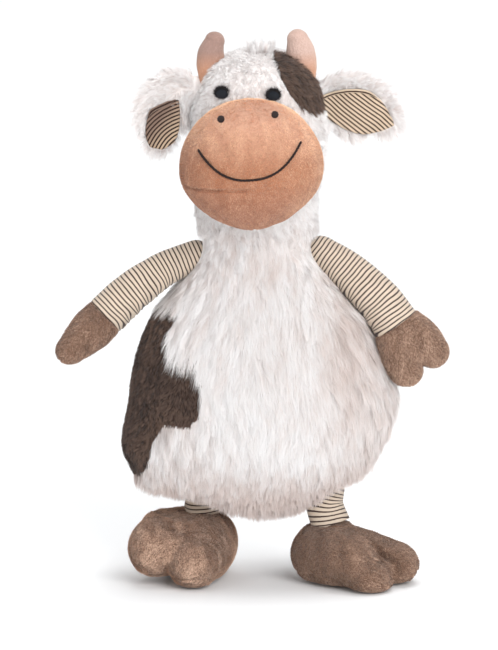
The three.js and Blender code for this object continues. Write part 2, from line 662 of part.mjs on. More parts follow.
function buildFace(headGroup, clearOfHead) {
  const clearOfMuzzle = muzzleForm(SEAM_GAP);
  for (const side of Object.keys(SIDES)) {
    const z = CROWN - EYE_CROWN_DROP;
    const eyePlace = vec(EYE_PLACES[side], frontOf(head, EYE_PLACES[side], z), z);
    const eye = ellipsoid(eyePlace, EYE_WIDTH / 2, EYE_BULGE, EYE_HEIGHT / 2);
    piece(headGroup, `eye_${side}`, eye.subtract(clearOfHead).subtract(clearOfMuzzle), THREAD_BLACK, 0.7);
    const nostrilPlace = onMuzzle((SIDES[side] * NOSTRIL_SPACING) / 2, NOSTRIL_RISE);
    const half = NOSTRIL_SIZE / 2;
    const nostril = ellipsoid(nostrilPlace, half, half, half, SMALL_SIDES);
    piece(headGroup, `nostril_${side}`, nostril.subtract(clearOfMuzzle), THREAD_BROWN, 0.8);
  }
}

function buildTuft(headGroup, clearOfHead) {
  const at = (up, lean) => vec(0, -lean * TUFT_LEAN, CROWN + up);
  const tuft = {
    line: [at(-TUFT_ROOT_DEPTH, 0), at(TUFT_HEIGHT * 0.4, 0.5), at(TUFT_HEIGHT, 1)],
    sizes: [TUFT_RADIUS, TUFT_RADIUS * 0.8, TUFT_TIP_RADIUS].map((r) => [r, r]),
    across: Y, steps: 2, roundStart: false, roundEnd: false, sides: SMALL_SIDES,
  };
  piece(headGroup, 'crown_tuft', limbForm(tuft, 0).subtract(clearOfHead), WHITE_FUR, 0.95);
}

function buildHead() {
  const group = movingGroup(vec(0, 0, NECK));
  const above = ahead(vec(0, 0, NECK + SEAM_GAP), Z);
  const sides = Object.keys(SIDES);
  const rooms = sides.map((side) => {
    const { pivot, ear } = earParts(side);
    return socket(ear, pivot, liftAxis(side), EAR_RANGE[side]);
  });
  const earRoom = rooms[0].add(rooms[1]);
  const outer = uprightForm(head, 0).intersect(above).subtract(earRoom);
  const faceHole = muzzleForm(-VELOUR_CLOTH);
  const cover = outer.subtract(uprightForm(head, -FUR_CLOTH, -FUR_CLOTH, FUR_CLOTH)).subtract(faceHole);
  const within = uprightForm(head, -FUR_CLOTH - SEAM_GAP, -FUR_CLOTH - SEAM_GAP, FUR_CLOTH);
  const filling = within.intersect(above).subtract(earRoom);
  const outline = HEAD_PATCH_OUTLINE.map(([x, z]) => [(x * HEAD_WIDTH) / 2, NECK + z * HEAD_HEIGHT]);
  const frontEdge = HEAD_SEAM_PLANE - SEAM_GAP / 2;
  const patch = plate(outline, -FAR / 2, frontEdge);
  const patchHole = plate(offsetOutline(outline, SEAM_GAP), -FAR / 2, frontEdge);
  const front = cover.intersect(ahead(vec(0, frontEdge, 0), Y.clone().negate()));
  piece(group, 'head_face_cover', front.subtract(patchHole), WHITE_FUR, 0.95);
  piece(group, 'head_patch', front.intersect(patch), BROWN_FUR, 0.9);
  const back = ahead(vec(0, HEAD_SEAM_PLANE + SEAM_GAP / 2, 0), Y);
  piece(group, 'head_back_cover', cover.intersect(back), WHITE_FUR, 0.95);
  piece(group, 'head_filling', filling, FIBRE, 1);
  const clearOfHead = uprightForm(head, SEAM_GAP);
  buildMuzzle(group, clearOfHead);
  buildSmile(group);
  buildFace(group, clearOfHead);
  buildTuft(group, clearOfHead);
  for (const side of sides) {
    buildHorn(side, group, clearOfHead);
    buildEar(side, group);
  }
}

buildBody();
buildHead();
for (const side of Object.keys(SIDES)) {
  buildArm(side);
  buildLeg(side);
}

// The origin lies on the floor under the middle of the toy
const box = new THREE.Box3().setFromObject(cow, true);
cow.position.set(-(box.min.x + box.max.x) / 2, -(box.min.y + box.max.y) / 2, -box.min.z);

export default cow;
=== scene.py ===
import json
import math
import bpy
import numpy as np
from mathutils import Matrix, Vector
from mathutils.kdtree import KDTree


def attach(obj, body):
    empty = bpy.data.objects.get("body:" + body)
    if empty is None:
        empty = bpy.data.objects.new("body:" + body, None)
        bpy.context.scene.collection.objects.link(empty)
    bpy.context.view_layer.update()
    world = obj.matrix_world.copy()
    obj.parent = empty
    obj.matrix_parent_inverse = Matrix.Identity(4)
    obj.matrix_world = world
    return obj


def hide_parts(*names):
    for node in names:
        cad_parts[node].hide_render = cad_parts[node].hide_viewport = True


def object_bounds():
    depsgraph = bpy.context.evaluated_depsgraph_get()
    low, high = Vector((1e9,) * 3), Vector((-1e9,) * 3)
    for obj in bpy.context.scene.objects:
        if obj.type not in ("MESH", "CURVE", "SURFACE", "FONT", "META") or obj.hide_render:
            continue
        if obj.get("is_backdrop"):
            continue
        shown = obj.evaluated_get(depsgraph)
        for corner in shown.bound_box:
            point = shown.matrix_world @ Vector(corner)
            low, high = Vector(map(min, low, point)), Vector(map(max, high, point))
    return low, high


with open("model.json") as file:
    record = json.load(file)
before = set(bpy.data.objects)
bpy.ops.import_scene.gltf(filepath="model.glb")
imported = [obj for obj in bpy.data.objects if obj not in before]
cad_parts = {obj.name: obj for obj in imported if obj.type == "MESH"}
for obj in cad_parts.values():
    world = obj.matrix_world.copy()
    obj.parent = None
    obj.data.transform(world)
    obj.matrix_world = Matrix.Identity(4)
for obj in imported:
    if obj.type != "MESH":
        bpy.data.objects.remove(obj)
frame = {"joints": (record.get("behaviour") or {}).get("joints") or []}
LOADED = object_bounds()
rng = np.random.default_rng(41)

# Frame: shapes below are in millimetres with the neck joint on X = Y = 0
JOINTS = {j["name"]: j["pos_m"] for j in frame["joints"]}
SHIFT = np.array([*JOINTS["neck_turn"][:2], 0.0]) * 1000
MM = 0.001
TURN = 2 * math.pi
DOWN = np.array([0, 0, -1.0])
ACROSS = (0, 1, 0)
SIDES = {"right": -1, "left": 1}


def joint_place(name):
    return np.array(JOINTS[name]) * 1000 - SHIFT


def metres(p):
    return ((np.asarray(p, float) + SHIFT) * MM).astype(np.float32)


def unit(v):
    return v / np.maximum(np.linalg.norm(v, axis=-1, keepdims=True), 1e-9)


def curve(rows, t):
    """Smooth line through rows of numbers, at shares of it from 0 to 1"""
    rows = np.asarray(rows, float)
    at = np.clip(np.asarray(t, float), 0, 1) * (len(rows) - 1)
    i = np.minimum(at.astype(int), len(rows) - 2)
    f = (at - i)[..., None]
    a, b, c, d = [rows[np.clip(i + k, 0, len(rows) - 1)] for k in (-1, 0, 1, 2)]
    return b + 0.5 * ((c - a) * f + (2 * a - 5 * b + 4 * c - d) * f * f + (3 * b - a - 3 * c + d) * f**3)


def ring_angles(sides, start=0.5):
    return (np.arange(sides) + start) / sides * TURN


def run_of(line):
    """Length of a line of points up to each of them"""
    return np.concatenate([[0], np.cumsum(np.linalg.norm(np.diff(line, axis=0), axis=1))])


def fade(v, start, stop):
    """0 up to the start, 1 from the stop on"""
    return np.clip((v - start) / (stop - start), 0, 1)


def hill(v, middle, width):
    return np.exp(-(((v - middle) / width) ** 2))


def inside(outline, x, z):
    found = np.zeros(np.shape(x), bool)
    for (x0, z0), (x1, z1) in zip(outline, np.roll(outline, -1, axis=0)):
        found ^= ((z0 > z) != (z1 > z)) & (x < (x1 - x0) * (z - z0) / (z1 - z0 + 1e-12) + x0)
    return found


def field(p, size, seed, stretch=(1, 1, 1)):
    """Smooth noise about -1 to 1 with features about that size in mm"""
    r = np.random.default_rng(seed)
    total = np.zeros(p.shape[:-1])
    for _ in range(7):
        k = unit(r.normal(size=3)) * TURN / (size * r.uniform(0.8, 2.2)) / np.array(stretch)
        total += np.sin(p @ k + r.uniform(0, 6.28))
    return total / 3.2


def combed(N, towards):
    """The part of a direction that lies along the skin"""
    towards = np.broadcast_to(np.asarray(towards, float), N.shape)
    return unit(towards - N * np.einsum("ij,ij->i", towards, N)[:, None] + 1e-6)


def turned(D, N, angle):
    """Directions turned about their normals"""
    return D * np.cos(angle)[:, None] + np.cross(N, D) * np.sin(angle)[:, None]


def tree_of(points):
    tree = KDTree(len(points))
    for i, p in enumerate(points):
        tree.insert(p, i)
    tree.balance()
    return tree


def nearest(points, centres):
    tree = tree_of(centres)
    return np.array([tree.find(p)[1] for p in points])


# Meshes
def add_object(name, mesh, material):
    mesh.polygons.foreach_set("use_smooth", np.ones(len(mesh.polygons), bool))
    mesh.materials.clear()
    mesh.materials.append(material)
    made = bpy.data.objects.new(name, mesh)
    bpy.context.scene.collection.objects.link(made)
    return made


def add_mesh(name, verts, loops, starts, material, uv=None, uv_name="fabric"):
    mesh = bpy.data.meshes.new(name)
    mesh.vertices.add(len(verts))
    mesh.vertices.foreach_set("co", metres(verts).ravel())
    mesh.loops.add(len(loops))
    mesh.loops.foreach_set("vertex_index", np.asarray(loops, np.int32))
    mesh.polygons.add(len(starts))
    mesh.polygons.foreach_set("loop_start", np.asarray(starts, np.int32))
    if uv is not None:
        layer = mesh.uv_layers.new(name=uv_name)
        layer.uv.foreach_set("vector", np.asarray(uv, np.float32).ravel())
    mesh.update(calc_edges=True)
    return add_object(name, mesh, material)


def grid_data(P, uv=None, poles=True, mask=None):
    """Vertices and faces of rings P[ring, side], closed round the ring and capped by poles"""
    R, S, _ = P.shape
    if uv is None:
        s, r = np.meshgrid(np.arange(S + 1) / S, np.linspace(0, 1, R))
        uv = np.stack([s, r], -1)
    r, s = np.meshgrid(np.arange(R - 1), np.arange(S), indexing="ij")
    if mask is not None:
        r, s = r[mask], s[mask]
    r, s = r.ravel(), s.ravel()
    n = (s + 1) % S
    quads = np.stack([r * S + s, r * S + n, (r + 1) * S + n, (r + 1) * S + s], 1)
    quv = np.stack([uv[r, s], uv[r, s + 1], uv[r + 1, s + 1], uv[r + 1, s]], 1)
    verts, loops = [P.reshape(-1, 3)], [quads.ravel()]
    sizes, uvs = [np.full(len(quads), 4)], [quv.reshape(-1, 2)]
    s, n = np.arange(S), (np.arange(S) + 1) % S
    for pole, ring in enumerate((0, R - 1) if poles else ()):
        a, b, ua, ub = (n, s, s + 1, s) if ring == 0 else (s, n, s, s + 1)
        verts.append(P[ring].mean(0)[None])
        loops.append(np.stack([ring * S + a, ring * S + b, np.full(S, R * S + pole)], 1).ravel())
        sizes.append(np.full(S, 3))
        middle = uv[ring].mean(0)[None].repeat(S, 0)
        uvs.append(np.stack([uv[ring, ua], uv[ring, ub], middle], 1).reshape(-1, 2))
    verts, loops, sizes, uvs = map(np.concatenate, (verts, loops, sizes, uvs))
    starts = np.concatenate([[0], np.cumsum(sizes)[:-1]])
    first, second, third = (verts[loops[starts + k]] for k in (0, 1, 2))
    if mask is None and np.einsum("ij,ij->i", first, np.cross(second, third)).sum() < 0:
        order = np.concatenate([np.arange(a + n - 1, a - 1, -1) for a, n in zip(starts, sizes)])
        loops, uvs = loops[order], uvs[order]
    return verts, loops, starts, uvs


def grid(name, P, material, **options):
    verts, loops, starts, uvs = grid_data(P, **options)
    return add_mesh(name, verts, loops, starts, material, uvs)


def joined(grids):
    verts, loops, starts, count, corner = [], [], [], 0, 0
    for P in grids:
        v, l, s, _ = grid_data(P)
        verts.append(v)
        loops.append(l + count)
        starts.append(s + corner)
        count += len(v)
        corner += len(l)
    return np.concatenate(verts), np.concatenate(loops), np.concatenate(starts)


def mesh_arrays(mesh):
    """Places in mm and normals of a mesh's vertices"""
    places, facing = np.empty((2, len(mesh.vertices) * 3), np.float32)
    mesh.vertices.foreach_get("co", places)
    mesh.vertices.foreach_get("normal", facing)
    return places.reshape(-1, 3) / MM - SHIFT, facing.reshape(-1, 3)


def fused(name, grids, material, voxel, rounds, reshape):
    """Overlapping closed forms melted into one soft skin, then reshaped"""
    rough = add_mesh(name + "_rough", *joined(grids), material)
    melt = rough.modifiers.new("melt", "REMESH")
    melt.mode = "VOXEL"
    melt.voxel_size = voxel * MM
    ease = rough.modifiers.new("ease", "SMOOTH")
    ease.factor = 0.5
    ease.iterations = rounds
    depsgraph = bpy.context.evaluated_depsgraph_get()
    mesh = bpy.data.meshes.new_from_object(rough.evaluated_get(depsgraph))
    old = rough.data
    bpy.data.objects.remove(rough)
    bpy.data.meshes.remove(old)
    mesh.name = name
    mesh.vertices.foreach_set("co", metres(reshape(*mesh_arrays(mesh))).ravel())
    mesh.update()
    return add_object(name, mesh, material)


def normals(P):
    N = unit(np.cross(np.gradient(P, axis=0), np.roll(P, -1, 1) - np.roll(P, 1, 1)))
    return N * np.sign(np.einsum("rsk,rsk->", N, P - P.mean(1, keepdims=True)))


def sample(P, density):
    """Random points spread evenly over a grid of rings, with their normals"""
    P, N = (np.concatenate([a, a[:, :1]], 1) for a in (P, normals(P)))
    area = np.linalg.norm(np.cross(P[1:, :-1] - P[:-1, :-1], P[:-1, 1:] - P[:-1, :-1]), axis=-1)
    count = int(area.sum() * density)
    cell = rng.choice(area.size, count, p=area.ravel() / area.sum())
    r, s = np.unravel_index(cell, area.shape)
    a, b = rng.random((2, count, 1))

    def mix(A):
        near, far = (A[r, k] * (1 - a) + A[r + 1, k] * a for k in (s, s + 1))
        return near * (1 - b) + far * b

    return mix(P), unit(mix(N))


def mesh_points(made, density):
    """Random points spread evenly over a mesh, with its normals"""
    mesh = made.data
    mesh.calc_loop_triangles()
    corners = np.empty(len(mesh.loop_triangles) * 3, np.int32)
    mesh.loop_triangles.foreach_get("vertices", corners)
    corners = corners.reshape(-1, 3).T
    places, facing = mesh_arrays(mesh)
    a, b, c = places[corners]
    area = np.linalg.norm(np.cross(b - a, c - a), axis=1) / 2
    pick = rng.choice(len(area), int(area.sum() * density), p=area / area.sum())
    u, v = rng.random((2, len(pick), 1))
    u, v = np.where(u + v > 1, 1 - u, u), np.where(u + v > 1, 1 - v, v)

    def mix(V):
        return V[corners[0, pick]] * (1 - u - v) + V[corners[1, pick]] * u + V[corners[2, pick]] * v

    return mix(places), unit(mix(facing))


# Materials
def linear(r, g, b):
    c = np.array([r, g, b]) / 255
    return (*np.where(c <= 0.04045, c / 12.92, ((c + 0.055) / 1.055) ** 2.4), 1.0)


class Look:
    """A Principled material with helpers for its node tree"""

    def __init__(self, name, rough, sheen=0.0, specular=0.3, sheen_tint=(255, 255, 255), sheen_rough=0.4):
        self.material = bpy.data.materials.new(name)
        self.material.use_nodes = True
        self.tree = self.material.node_tree
        self.shader = self.tree.nodes["Principled BSDF"]
        for key, value in (("Roughness", rough), ("Specular IOR Level", specular), ("Sheen Weight", sheen),
                           ("Sheen Roughness", sheen_rough), ("Sheen Tint", linear(*sheen_tint))):
            self.shader.inputs[key].default_value = value

    def node(self, kind, inputs, **options):
        made = self.tree.nodes.new("ShaderNode" + kind)
        for key, value in options.items():
            setattr(made, key, value)
        for key, value in inputs.items():
            if isinstance(value, bpy.types.NodeSocket):
                self.tree.links.new(value, made.inputs[key])
            else:
                made.inputs[key].default_value = value
        return made

    def places(self):
        return self.node("TexCoord", {}).outputs["Object"]

    def uv(self, name):
        return self.node("UVMap", {}, uv_map=name).outputs["UV"]

    def parts(self, vector):
        return self.node("SeparateXYZ", {0: vector}).outputs

    def scaled(self, vector, scale):
        return self.node("Mapping", {"Vector": vector, "Scale": scale}).outputs["Vector"]

    def noise(self, vector, scale, detail=3.0, rough=0.55, distortion=0.0):
        return self.node("TexNoise", {"Vector": vector, "Scale": scale, "Detail": detail, "Roughness": rough,
                                      "Distortion": distortion}).outputs["Fac"]

    def maths(self, how, a, b=0.0):
        return self.node("Math", {0: a, 1: b}, operation=how).outputs[0]

    def times(self, a, b):
        return self.maths("MULTIPLY", a, b)

    def minus(self, a, b):
        return self.maths("SUBTRACT", a, b)

    def blend(self, a, share, b):
        """That share of a and the rest of b"""
        return self.maths("ADD", self.times(a, share), self.times(b, 1 - share))

    def ramp(self, value, low, high):
        """0 to 1 between two values"""
        return self.node("MapRange", {"Value": value, "From Min": low, "From Max": high}).outputs["Result"]

    def mottle(self, low, high, *noise):
        return self.ramp(self.noise(*noise), low, high)

    def mix(self, share, a, b):
        """Colours are sockets, or red, green and blue from 0 to 255"""
        a, b = (linear(*c) if isinstance(c, (tuple, list)) else c for c in (a, b))
        return self.node("Mix", {0: share, 6: a, 7: b}, data_type="RGBA").outputs[2]

    def colour(self, socket):
        self.tree.links.new(socket, self.shader.inputs["Base Color"])

    def bump(self, height, distance, strength=1.0):
        made = self.node("Bump", {"Height": height, "Distance": distance, "Strength": strength})
        self.tree.links.new(made.outputs[0], self.shader.inputs["Normal"])


def fur_look(name, root, tip, warm_root, warm_tip, rough=0.6, sheen=0.25, through=0.0):
    """Pile that pales to its tips, with painted shade at its darker roots; the tone of a strand goes from cool
    to warm
    """
    look = Look(name, rough, sheen, 0.25)
    parts = look.parts(look.uv("OFBake"))
    along = look.maths("POWER", parts[1], 0.8)
    cool = look.mix(along, root, tip)
    warm = look.mix(along, warm_root, warm_tip)
    tone = look.mix(parts[0], cool, warm)
    look.colour(tone)
    if through:
        behind = look.node("BsdfTranslucent", {"Color": tone}).outputs[0]
        both = look.node("MixShader", {0: through, 1: look.shader.outputs[0], 2: behind}).outputs[0]
        look.tree.links.new(both, look.tree.nodes["Material Output"].inputs["Surface"])
    return look.material


def skin_look(name, a, b):
    """Knitted ground under the pile"""
    look = Look(name, 0.9, 0.2, 0.15)
    at = look.places()
    look.colour(look.mix(look.mottle(0.35, 0.65, at, 140.0), a, b))
    look.bump(look.noise(at, 1400.0), 0.0006)
    return look.material


def velour_look(name, base, light, dark, nap, grain, zones=()):
    """Short brushed nap; zones are (axis, from, to, share, colour) in metres"""
    look = Look(name, 0.85, 0.5, 0.12, (255, 235, 220), 0.35)
    at = look.places()
    broad = look.mottle(0.38, 0.62, at, 55.0, 3.0)
    brushed = look.mottle(0.34, 0.66, look.scaled(at, (1.0, 1.0, 0.75)), grain, 3.0, 0.6, 0.1)
    fine = look.mottle(0.3, 0.7, at, grain * 3.4, 2.0)
    tone = look.mix(look.times(broad, 0.55), base, light)
    ends = look.parts(at)
    for axis, start, stop, share, colour in zones:
        amount = look.times(look.ramp(ends["XYZ".index(axis)], start, stop), share)
        tone = look.mix(amount, tone, colour)
    # Dark specks where the bump sinks: painted shade in the hollows between the nap's fibres
    speck = look.minus(1.0, look.blend(brushed, 0.6, fine))
    tone = look.mix(look.times(speck, 0.6 * nap), tone, dark)
    glints = look.times(look.mottle(0.56, 0.72, at, grain * 2.1, 2.0), 0.35 * nap)
    look.colour(look.mix(glints, tone, [min(255, c * 1.12 + 14) for c in light]))
    look.bump(look.blend(brushed, 0.65, fine), 0.0005 * nap)
    return look.material


def jersey_look(name, cream, line, pitch, share, lit=None):
    """Striped knit; lit is the way that it gets paler downwards: (from, to, colour)"""
    look = Look(name, 0.8, 0.25, 0.15)
    uv = look.uv("fabric")
    parts = look.parts(uv)
    wander = look.noise(look.scaled(uv, (0.35, 0.35, 1.0)), 1.0, 2.0)
    across = look.maths("ADD", parts[1], look.times(look.minus(wander, 0.5), 0.35))
    stripe = look.maths("FRACT", look.maths("DIVIDE", across, pitch))
    ink = look.ramp(look.maths("ABSOLUTE", look.minus(stripe, 0.5)), share / 2 + 0.035, share / 2 - 0.035)
    ribs, rows = (look.maths("SINE", look.times(parts[k], TURN / size)) for k, size in enumerate((0.9, 0.7)))
    knit = look.blend(ribs, 0.5, rows)
    soil = look.mottle(0.35, 0.7, look.scaled(uv, (0.09, 0.09, 1.0)), 1.0, 3.0)
    ground = look.mix(look.times(soil, 0.5), cream, [c * 0.9 for c in cream])
    # Darker where the knit's bump sinks: painted shade in the hollows of the knit
    ground = look.mix(look.times(look.ramp(knit, 0.2, -1.0), 0.25), ground, [c * 0.8 for c in cream])
    if lit:
        ends = look.parts(look.places())
        low = look.minus(ends[0], look.times(ends[2], 0.8))
        ground = look.mix(look.ramp(low, lit[0], lit[1]), ground, lit[2])
    look.colour(look.mix(ink, ground, line))
    look.bump(knit, 0.00012, 0.8)
    return look.material


def thread_look(name, colour, sheen):
    look = Look(name, 0.85, sheen, 0.3)
    at = look.places()
    pale = [min(255, c * 1.25 + 4) for c in colour]
    look.colour(look.mix(look.mottle(0.3, 0.7, at, 900.0), colour, pale))
    look.bump(look.noise(at, 3000.0), 0.0001)
    return look.material


# White pile: its warm end is pinker and darker, for painted shade as well as for tone that differs at random
WHITE_FUR = fur_look("white_fur", (241, 237, 236), (254, 254, 254), (206, 190, 183), (238, 227, 222),
                     through=0.34)
BROWN_FUR = fur_look("brown_fur", (52, 39, 34), (100, 82, 74), (70, 53, 45), (134, 110, 96), 0.55, 0.3, 0.2)
FUZZ = fur_look("eye_fuzz", (14, 17, 22), (34, 36, 40), (20, 20, 22), (44, 40, 40), 0.8, 0.1)
# Backing a little darker than the pile's tips: painted shade where it shows through gaps in the pile
UNDERCOAT = skin_look("undercoat", (236, 229, 226), (246, 241, 239))
BROWN_SKIN = skin_look("brown_skin", (48, 36, 31), (66, 50, 42))
# Peach velour with painted light and shade: paler towards the top, darker low down and on the viewer's left
PEACH = velour_look("peach_velour", (175, 117, 85), (188, 132, 101), (146, 96, 76), 0.85, 800.0,
                    [("Z", 0.298, 0.326, 0.85, (226, 182, 157)), ("Z", 0.290, 0.266, 0.75, (140, 101, 87)),
                     ("X", -0.018, -0.048, 0.2, (156, 112, 92))])
# Horn velour with painted shade on the horn on the viewer's left, and more orange towards the horns' base
HORN = velour_look("horn_velour", (201, 173, 161), (212, 184, 173), (168, 132, 118), 0.8, 800.0,
                   [("X", 0.002, -0.022, 0.85, (138, 112, 104)), ("Z", 0.362, 0.348, 0.85, (208, 148, 112))])
TAUPE = velour_look("taupe_velour", (154, 120, 100), (172, 138, 117), (74, 54, 42), 1.6, 640.0)
# Short pile: its tone runs from a dark, cool end to a pale, warm end, and paints light and shade as well as
# speckle
NAP = fur_look("taupe_nap", (78, 56, 44), (150, 112, 90), (166, 131, 109), (247, 214, 190), 0.75, 0.35)
PEACH_NAP = fur_look("peach_nap", (135, 90, 71), (172, 120, 97), (220, 160, 123), (255, 222, 188), 0.75, 0.3)
JERSEY = jersey_look("striped_jersey", (209, 192, 173), (60, 44, 42), 2.75, 0.33)
LINING = jersey_look("striped_lining", (208, 188, 164), (54, 33, 28), 2.45, 0.38)
# Painted shade: a darker copy of the striped lining for the ear in shade, with painted light lower down
SHADED_LINING = jersey_look("shaded_lining", (132, 110, 97), (46, 31, 27), 2.3, 0.42,
                          (-0.315, -0.296, (204, 180, 154)))
EYE = thread_look("eye_thread", (19, 23, 29), 0.15)
MOUTH = thread_look("mouth_thread", (29, 18, 16), 0.04)


def keep(made, body, replaces=()):
    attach(made, body)
    if replaces:
        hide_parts(*replaces)
    return made


# Pile: tapered blades that lie in pointed locks
MOST_FACES = 190000


def strand_paths(P, N, D, L, rise, wave, wave_length, phase, steps, curl=0.0):
    """Strand lines from the root on, as points [strand, step]"""
    S = np.cross(N, D)
    p, line = P.copy(), [P.copy()]
    for k in range(steps):
        t = (k + 0.5) / steps
        a = (rise[0] * (1 - t) + rise[1] * t)[:, None]
        turn = (TURN * t * L / wave_length + phase)[:, None]
        d = N * np.sin(a) + D * np.cos(a) + S * wave[:, None] * np.cos(turn)
        d = d + N * (curl * wave)[:, None] * np.sin(turn)
        p = p + unit(d) * (L / steps)[:, None]
        line.append(p)
    return np.stack(line, 1)


def pushed(paths, line, radii, grow):
    """Strand points that lie inside a limb go to its surface"""
    flat = paths.reshape(-1, 3)
    for (a, b), (ra, rb) in zip(zip(line[:-1], line[1:]), zip(radii[:-1], radii[1:])):
        t = np.clip((flat - a) @ (b - a) / ((b - a) @ (b - a)), 0, 1)[:, None]
        near = a + (b - a) * t
        off = flat - near
        far = np.linalg.norm(off, axis=1, keepdims=True)
        want = ra + (rb - ra) * t + grow
        flat = np.where(far < want, near + off / np.maximum(far, 1e-6) * want, flat)
    return flat.reshape(paths.shape)


def blade_mesh(name, paths, N, width, roll, tone, material, body, slot, taper=2.4):
    """Flat blades along strand lines; their uv holds the tone and the share of the length"""
    n, points, _ = paths.shape
    steps = points - 1
    d = unit(np.gradient(paths, axis=1))
    W = unit(np.cross(d, N[:, None]))
    W = W * np.cos(roll)[:, None, None] + np.cross(W, d) * np.sin(roll)[:, None, None]
    half = (width[:, None] * (1 - np.linspace(0, 1, points) ** taper) / 2)[..., None]
    pairs = np.stack([(paths - W * half)[:, :-1], (paths + W * half)[:, :-1]], 2).reshape(n, steps * 2, 3)
    verts = np.concatenate([pairs, paths[:, -1:]], 1)
    faces, uvs = [], []
    for k in range(steps - 1):
        faces += [2 * k, 2 * k + 1, 2 * k + 3, 2 * k + 2]
        uvs += [(-1, k), (1, k), (1, k + 1), (-1, k + 1)]
    faces = np.array(faces + [2 * steps - 2, 2 * steps - 1, 2 * steps])
    uvs = np.array(uvs + [(-1, steps - 1), (1, steps - 1), (0, steps)], float)
    sizes = [4] * (steps - 1) + [3]
    pieces = max(1, math.ceil(n / (MOST_FACES // (2 * steps - 1))))
    for c, part in enumerate(np.array_split(np.arange(n), pieces)):
        m = len(part)
        loops = (faces[None] + (2 * steps + 1) * np.arange(m)[:, None]).ravel()
        starts = np.concatenate([[0], np.cumsum(np.tile(sizes, m))[:-1]])
        u = np.clip(tone[part], 0.02, 0.98)[:, None] + uvs[None, :, 0] * 0.004
        v = 0.02 + 0.96 * uvs[None, :, 1] / steps + np.zeros((m, 1))
        uv = np.stack([u, v], -1).reshape(-1, 2)
        label = name if pieces == 1 else f"{name}_{c + 1}"
        keep(add_mesh(label, verts[part].reshape(-1, 3), loops, starts, material, uv, "OFBake"), body)


def fur_area(P):
    """Rough area in mm2 that a cloud of points covers, from its spacing"""
    pick = P[rng.choice(len(P), min(400, len(P)), replace=False)]
    tree = tree_of(P)
    reach = np.array([tree.find_n(p, 9)[-1][2] for p in pick])
    return len(P) * math.pi * float(np.median(reach**2)) / 8.5


def fur(name, P, N, comb, length, body, slot, material, rise, wave, wave_length=11.0, curl=0.0, lock=3.0,
        tuft=1.1, clump=(0.3, 0.4), width=0.3, steps=4, tone=0.3, spread=0.3, jitter=0.3, limbs=(),
        keep_if=None, order=None, taper=2.4, flow=None, uneven=0.1):
    """Grows blades from points: each bends to its tuft's line, and each tuft to its lock's line"""
    n = len(P)

    def each(value):
        return np.broadcast_to(np.asarray(value, float), (n,))

    def chosen(spacing):
        return rng.choice(n, min(n, max(4, int(n / max(1.0, density * spacing * spacing)))), replace=False)

    rise, wave = [each(r) for r in rise], each(wave)
    L = each(length) * (1.08 - 0.42 * rng.random(n) ** 1.6)
    density = n / max(1.0, fur_area(P))
    locks, tufts = chosen(lock), chosen(tuft)
    lock_phase = rng.uniform(0, 6.28, len(locks))
    lock_turn = rng.normal(0, spread, len(locks))
    lock_rise = rng.normal(0, uneven, len(locks))
    lock_size = rng.uniform(0.86, 1.1, len(locks))
    waving = 7 * field(P, flow, 77) if flow else None

    def lines(pick, lock_of, loose):
        m = len(pick)
        D = turned(comb[pick], N[pick], lock_turn[lock_of] + rng.normal(0, loose, m))
        lift = [r[pick] + lock_rise[lock_of] + rng.normal(0, loose * 0.5, m) for r in rise]
        phase = waving[pick] if flow else lock_phase[lock_of]
        return strand_paths(P[pick], N[pick], D, L[pick] * lock_size[lock_of], lift, wave[pick], wave_length,
                            phase + rng.normal(0, 0.35, m), steps, curl)

    t = np.linspace(0, 1, steps + 1)[None, :, None]
    lock_lines = lines(locks, np.arange(len(locks)), 0.0)
    lock_of_tuft = nearest(P[tufts], P[locks])
    tuft_lines = lines(tufts, lock_of_tuft, jitter * 0.4)
    tuft_lines += clump[0] * t**1.1 * (lock_lines[lock_of_tuft] - tuft_lines)
    tuft_of = nearest(P, P[tufts])
    lock_of = lock_of_tuft[tuft_of]
    paths = lines(np.arange(n), lock_of, jitter)
    paths += clump[1] * t**0.9 * (tuft_lines[tuft_of] - paths)
    for limb_line, radii, grow in limbs:
        paths = pushed(paths, limb_line, radii, grow)
    aside = np.einsum("ij,ij->i", P - P[locks][lock_of], np.cross(N, comb)) / (lock * 0.6)
    roll = np.clip(aside, -1, 1) * 0.6 + rng.normal(0, 0.28, n)
    tones = each(tone) + rng.normal(0, 0.08, n) + rng.normal(0, 0.07, len(locks))[lock_of]
    tones += rng.normal(0, 0.15, len(tufts))[tuft_of]
    strands = [paths, N, each(width) * rng.uniform(0.75, 1.25, n), roll, tones, P]
    if keep_if is not None:
        kept = keep_if(paths)
        strands = [a[kept] for a in strands]
    if order is not None:
        ranked = np.argsort(order(strands[-1]), kind="stable")
        strands = [a[ranked] for a in strands]
    blade_mesh(name, *strands[:-1], material, body, slot, taper)


def nap(made, along, body, light, density=4.8, length=1.5, look=NAP, slot="taupe_velour", speck=0.27,
        clear=None):
    """Short brushed pile standing on a skin, except on the ground; light is its tone, painted lighter or darker
    as light falls
    """
    p, n = mesh_points(made, density)
    up = ~((p[:, 2] < 3) & (n[:, 2] < -0.5))
    if clear:
        up &= clear(p)
    p, n = p[up], n[up]
    comb = turned(combed(n, along), n, 0.28 * field(p, 16, 101) + 0.25 * field(p, 4, 102))
    count = len(p)
    stand = 0.7 + 0.3 * field(p, 7, 103)
    lengths = length * rng.uniform(0.7, 1.2, count)
    lines = strand_paths(p, n, comb, lengths, [stand, stand], np.zeros(count), 9.0, 0.0, 1)
    lines[..., 2] = np.maximum(lines[..., 2], 0.1)
    tone = (light(p) if callable(light) else light) + 0.05 * field(p, 14, 104) + 0.10 * field(p, 2.6, 105)
    tone = tone + rng.normal(0, speck, count)
    width = rng.uniform(0.28, 0.42, count)
    blade_mesh(made.name + "_nap", lines, n, width, rng.normal(0, 0.5, count), tone, look, body, slot, 1.2)


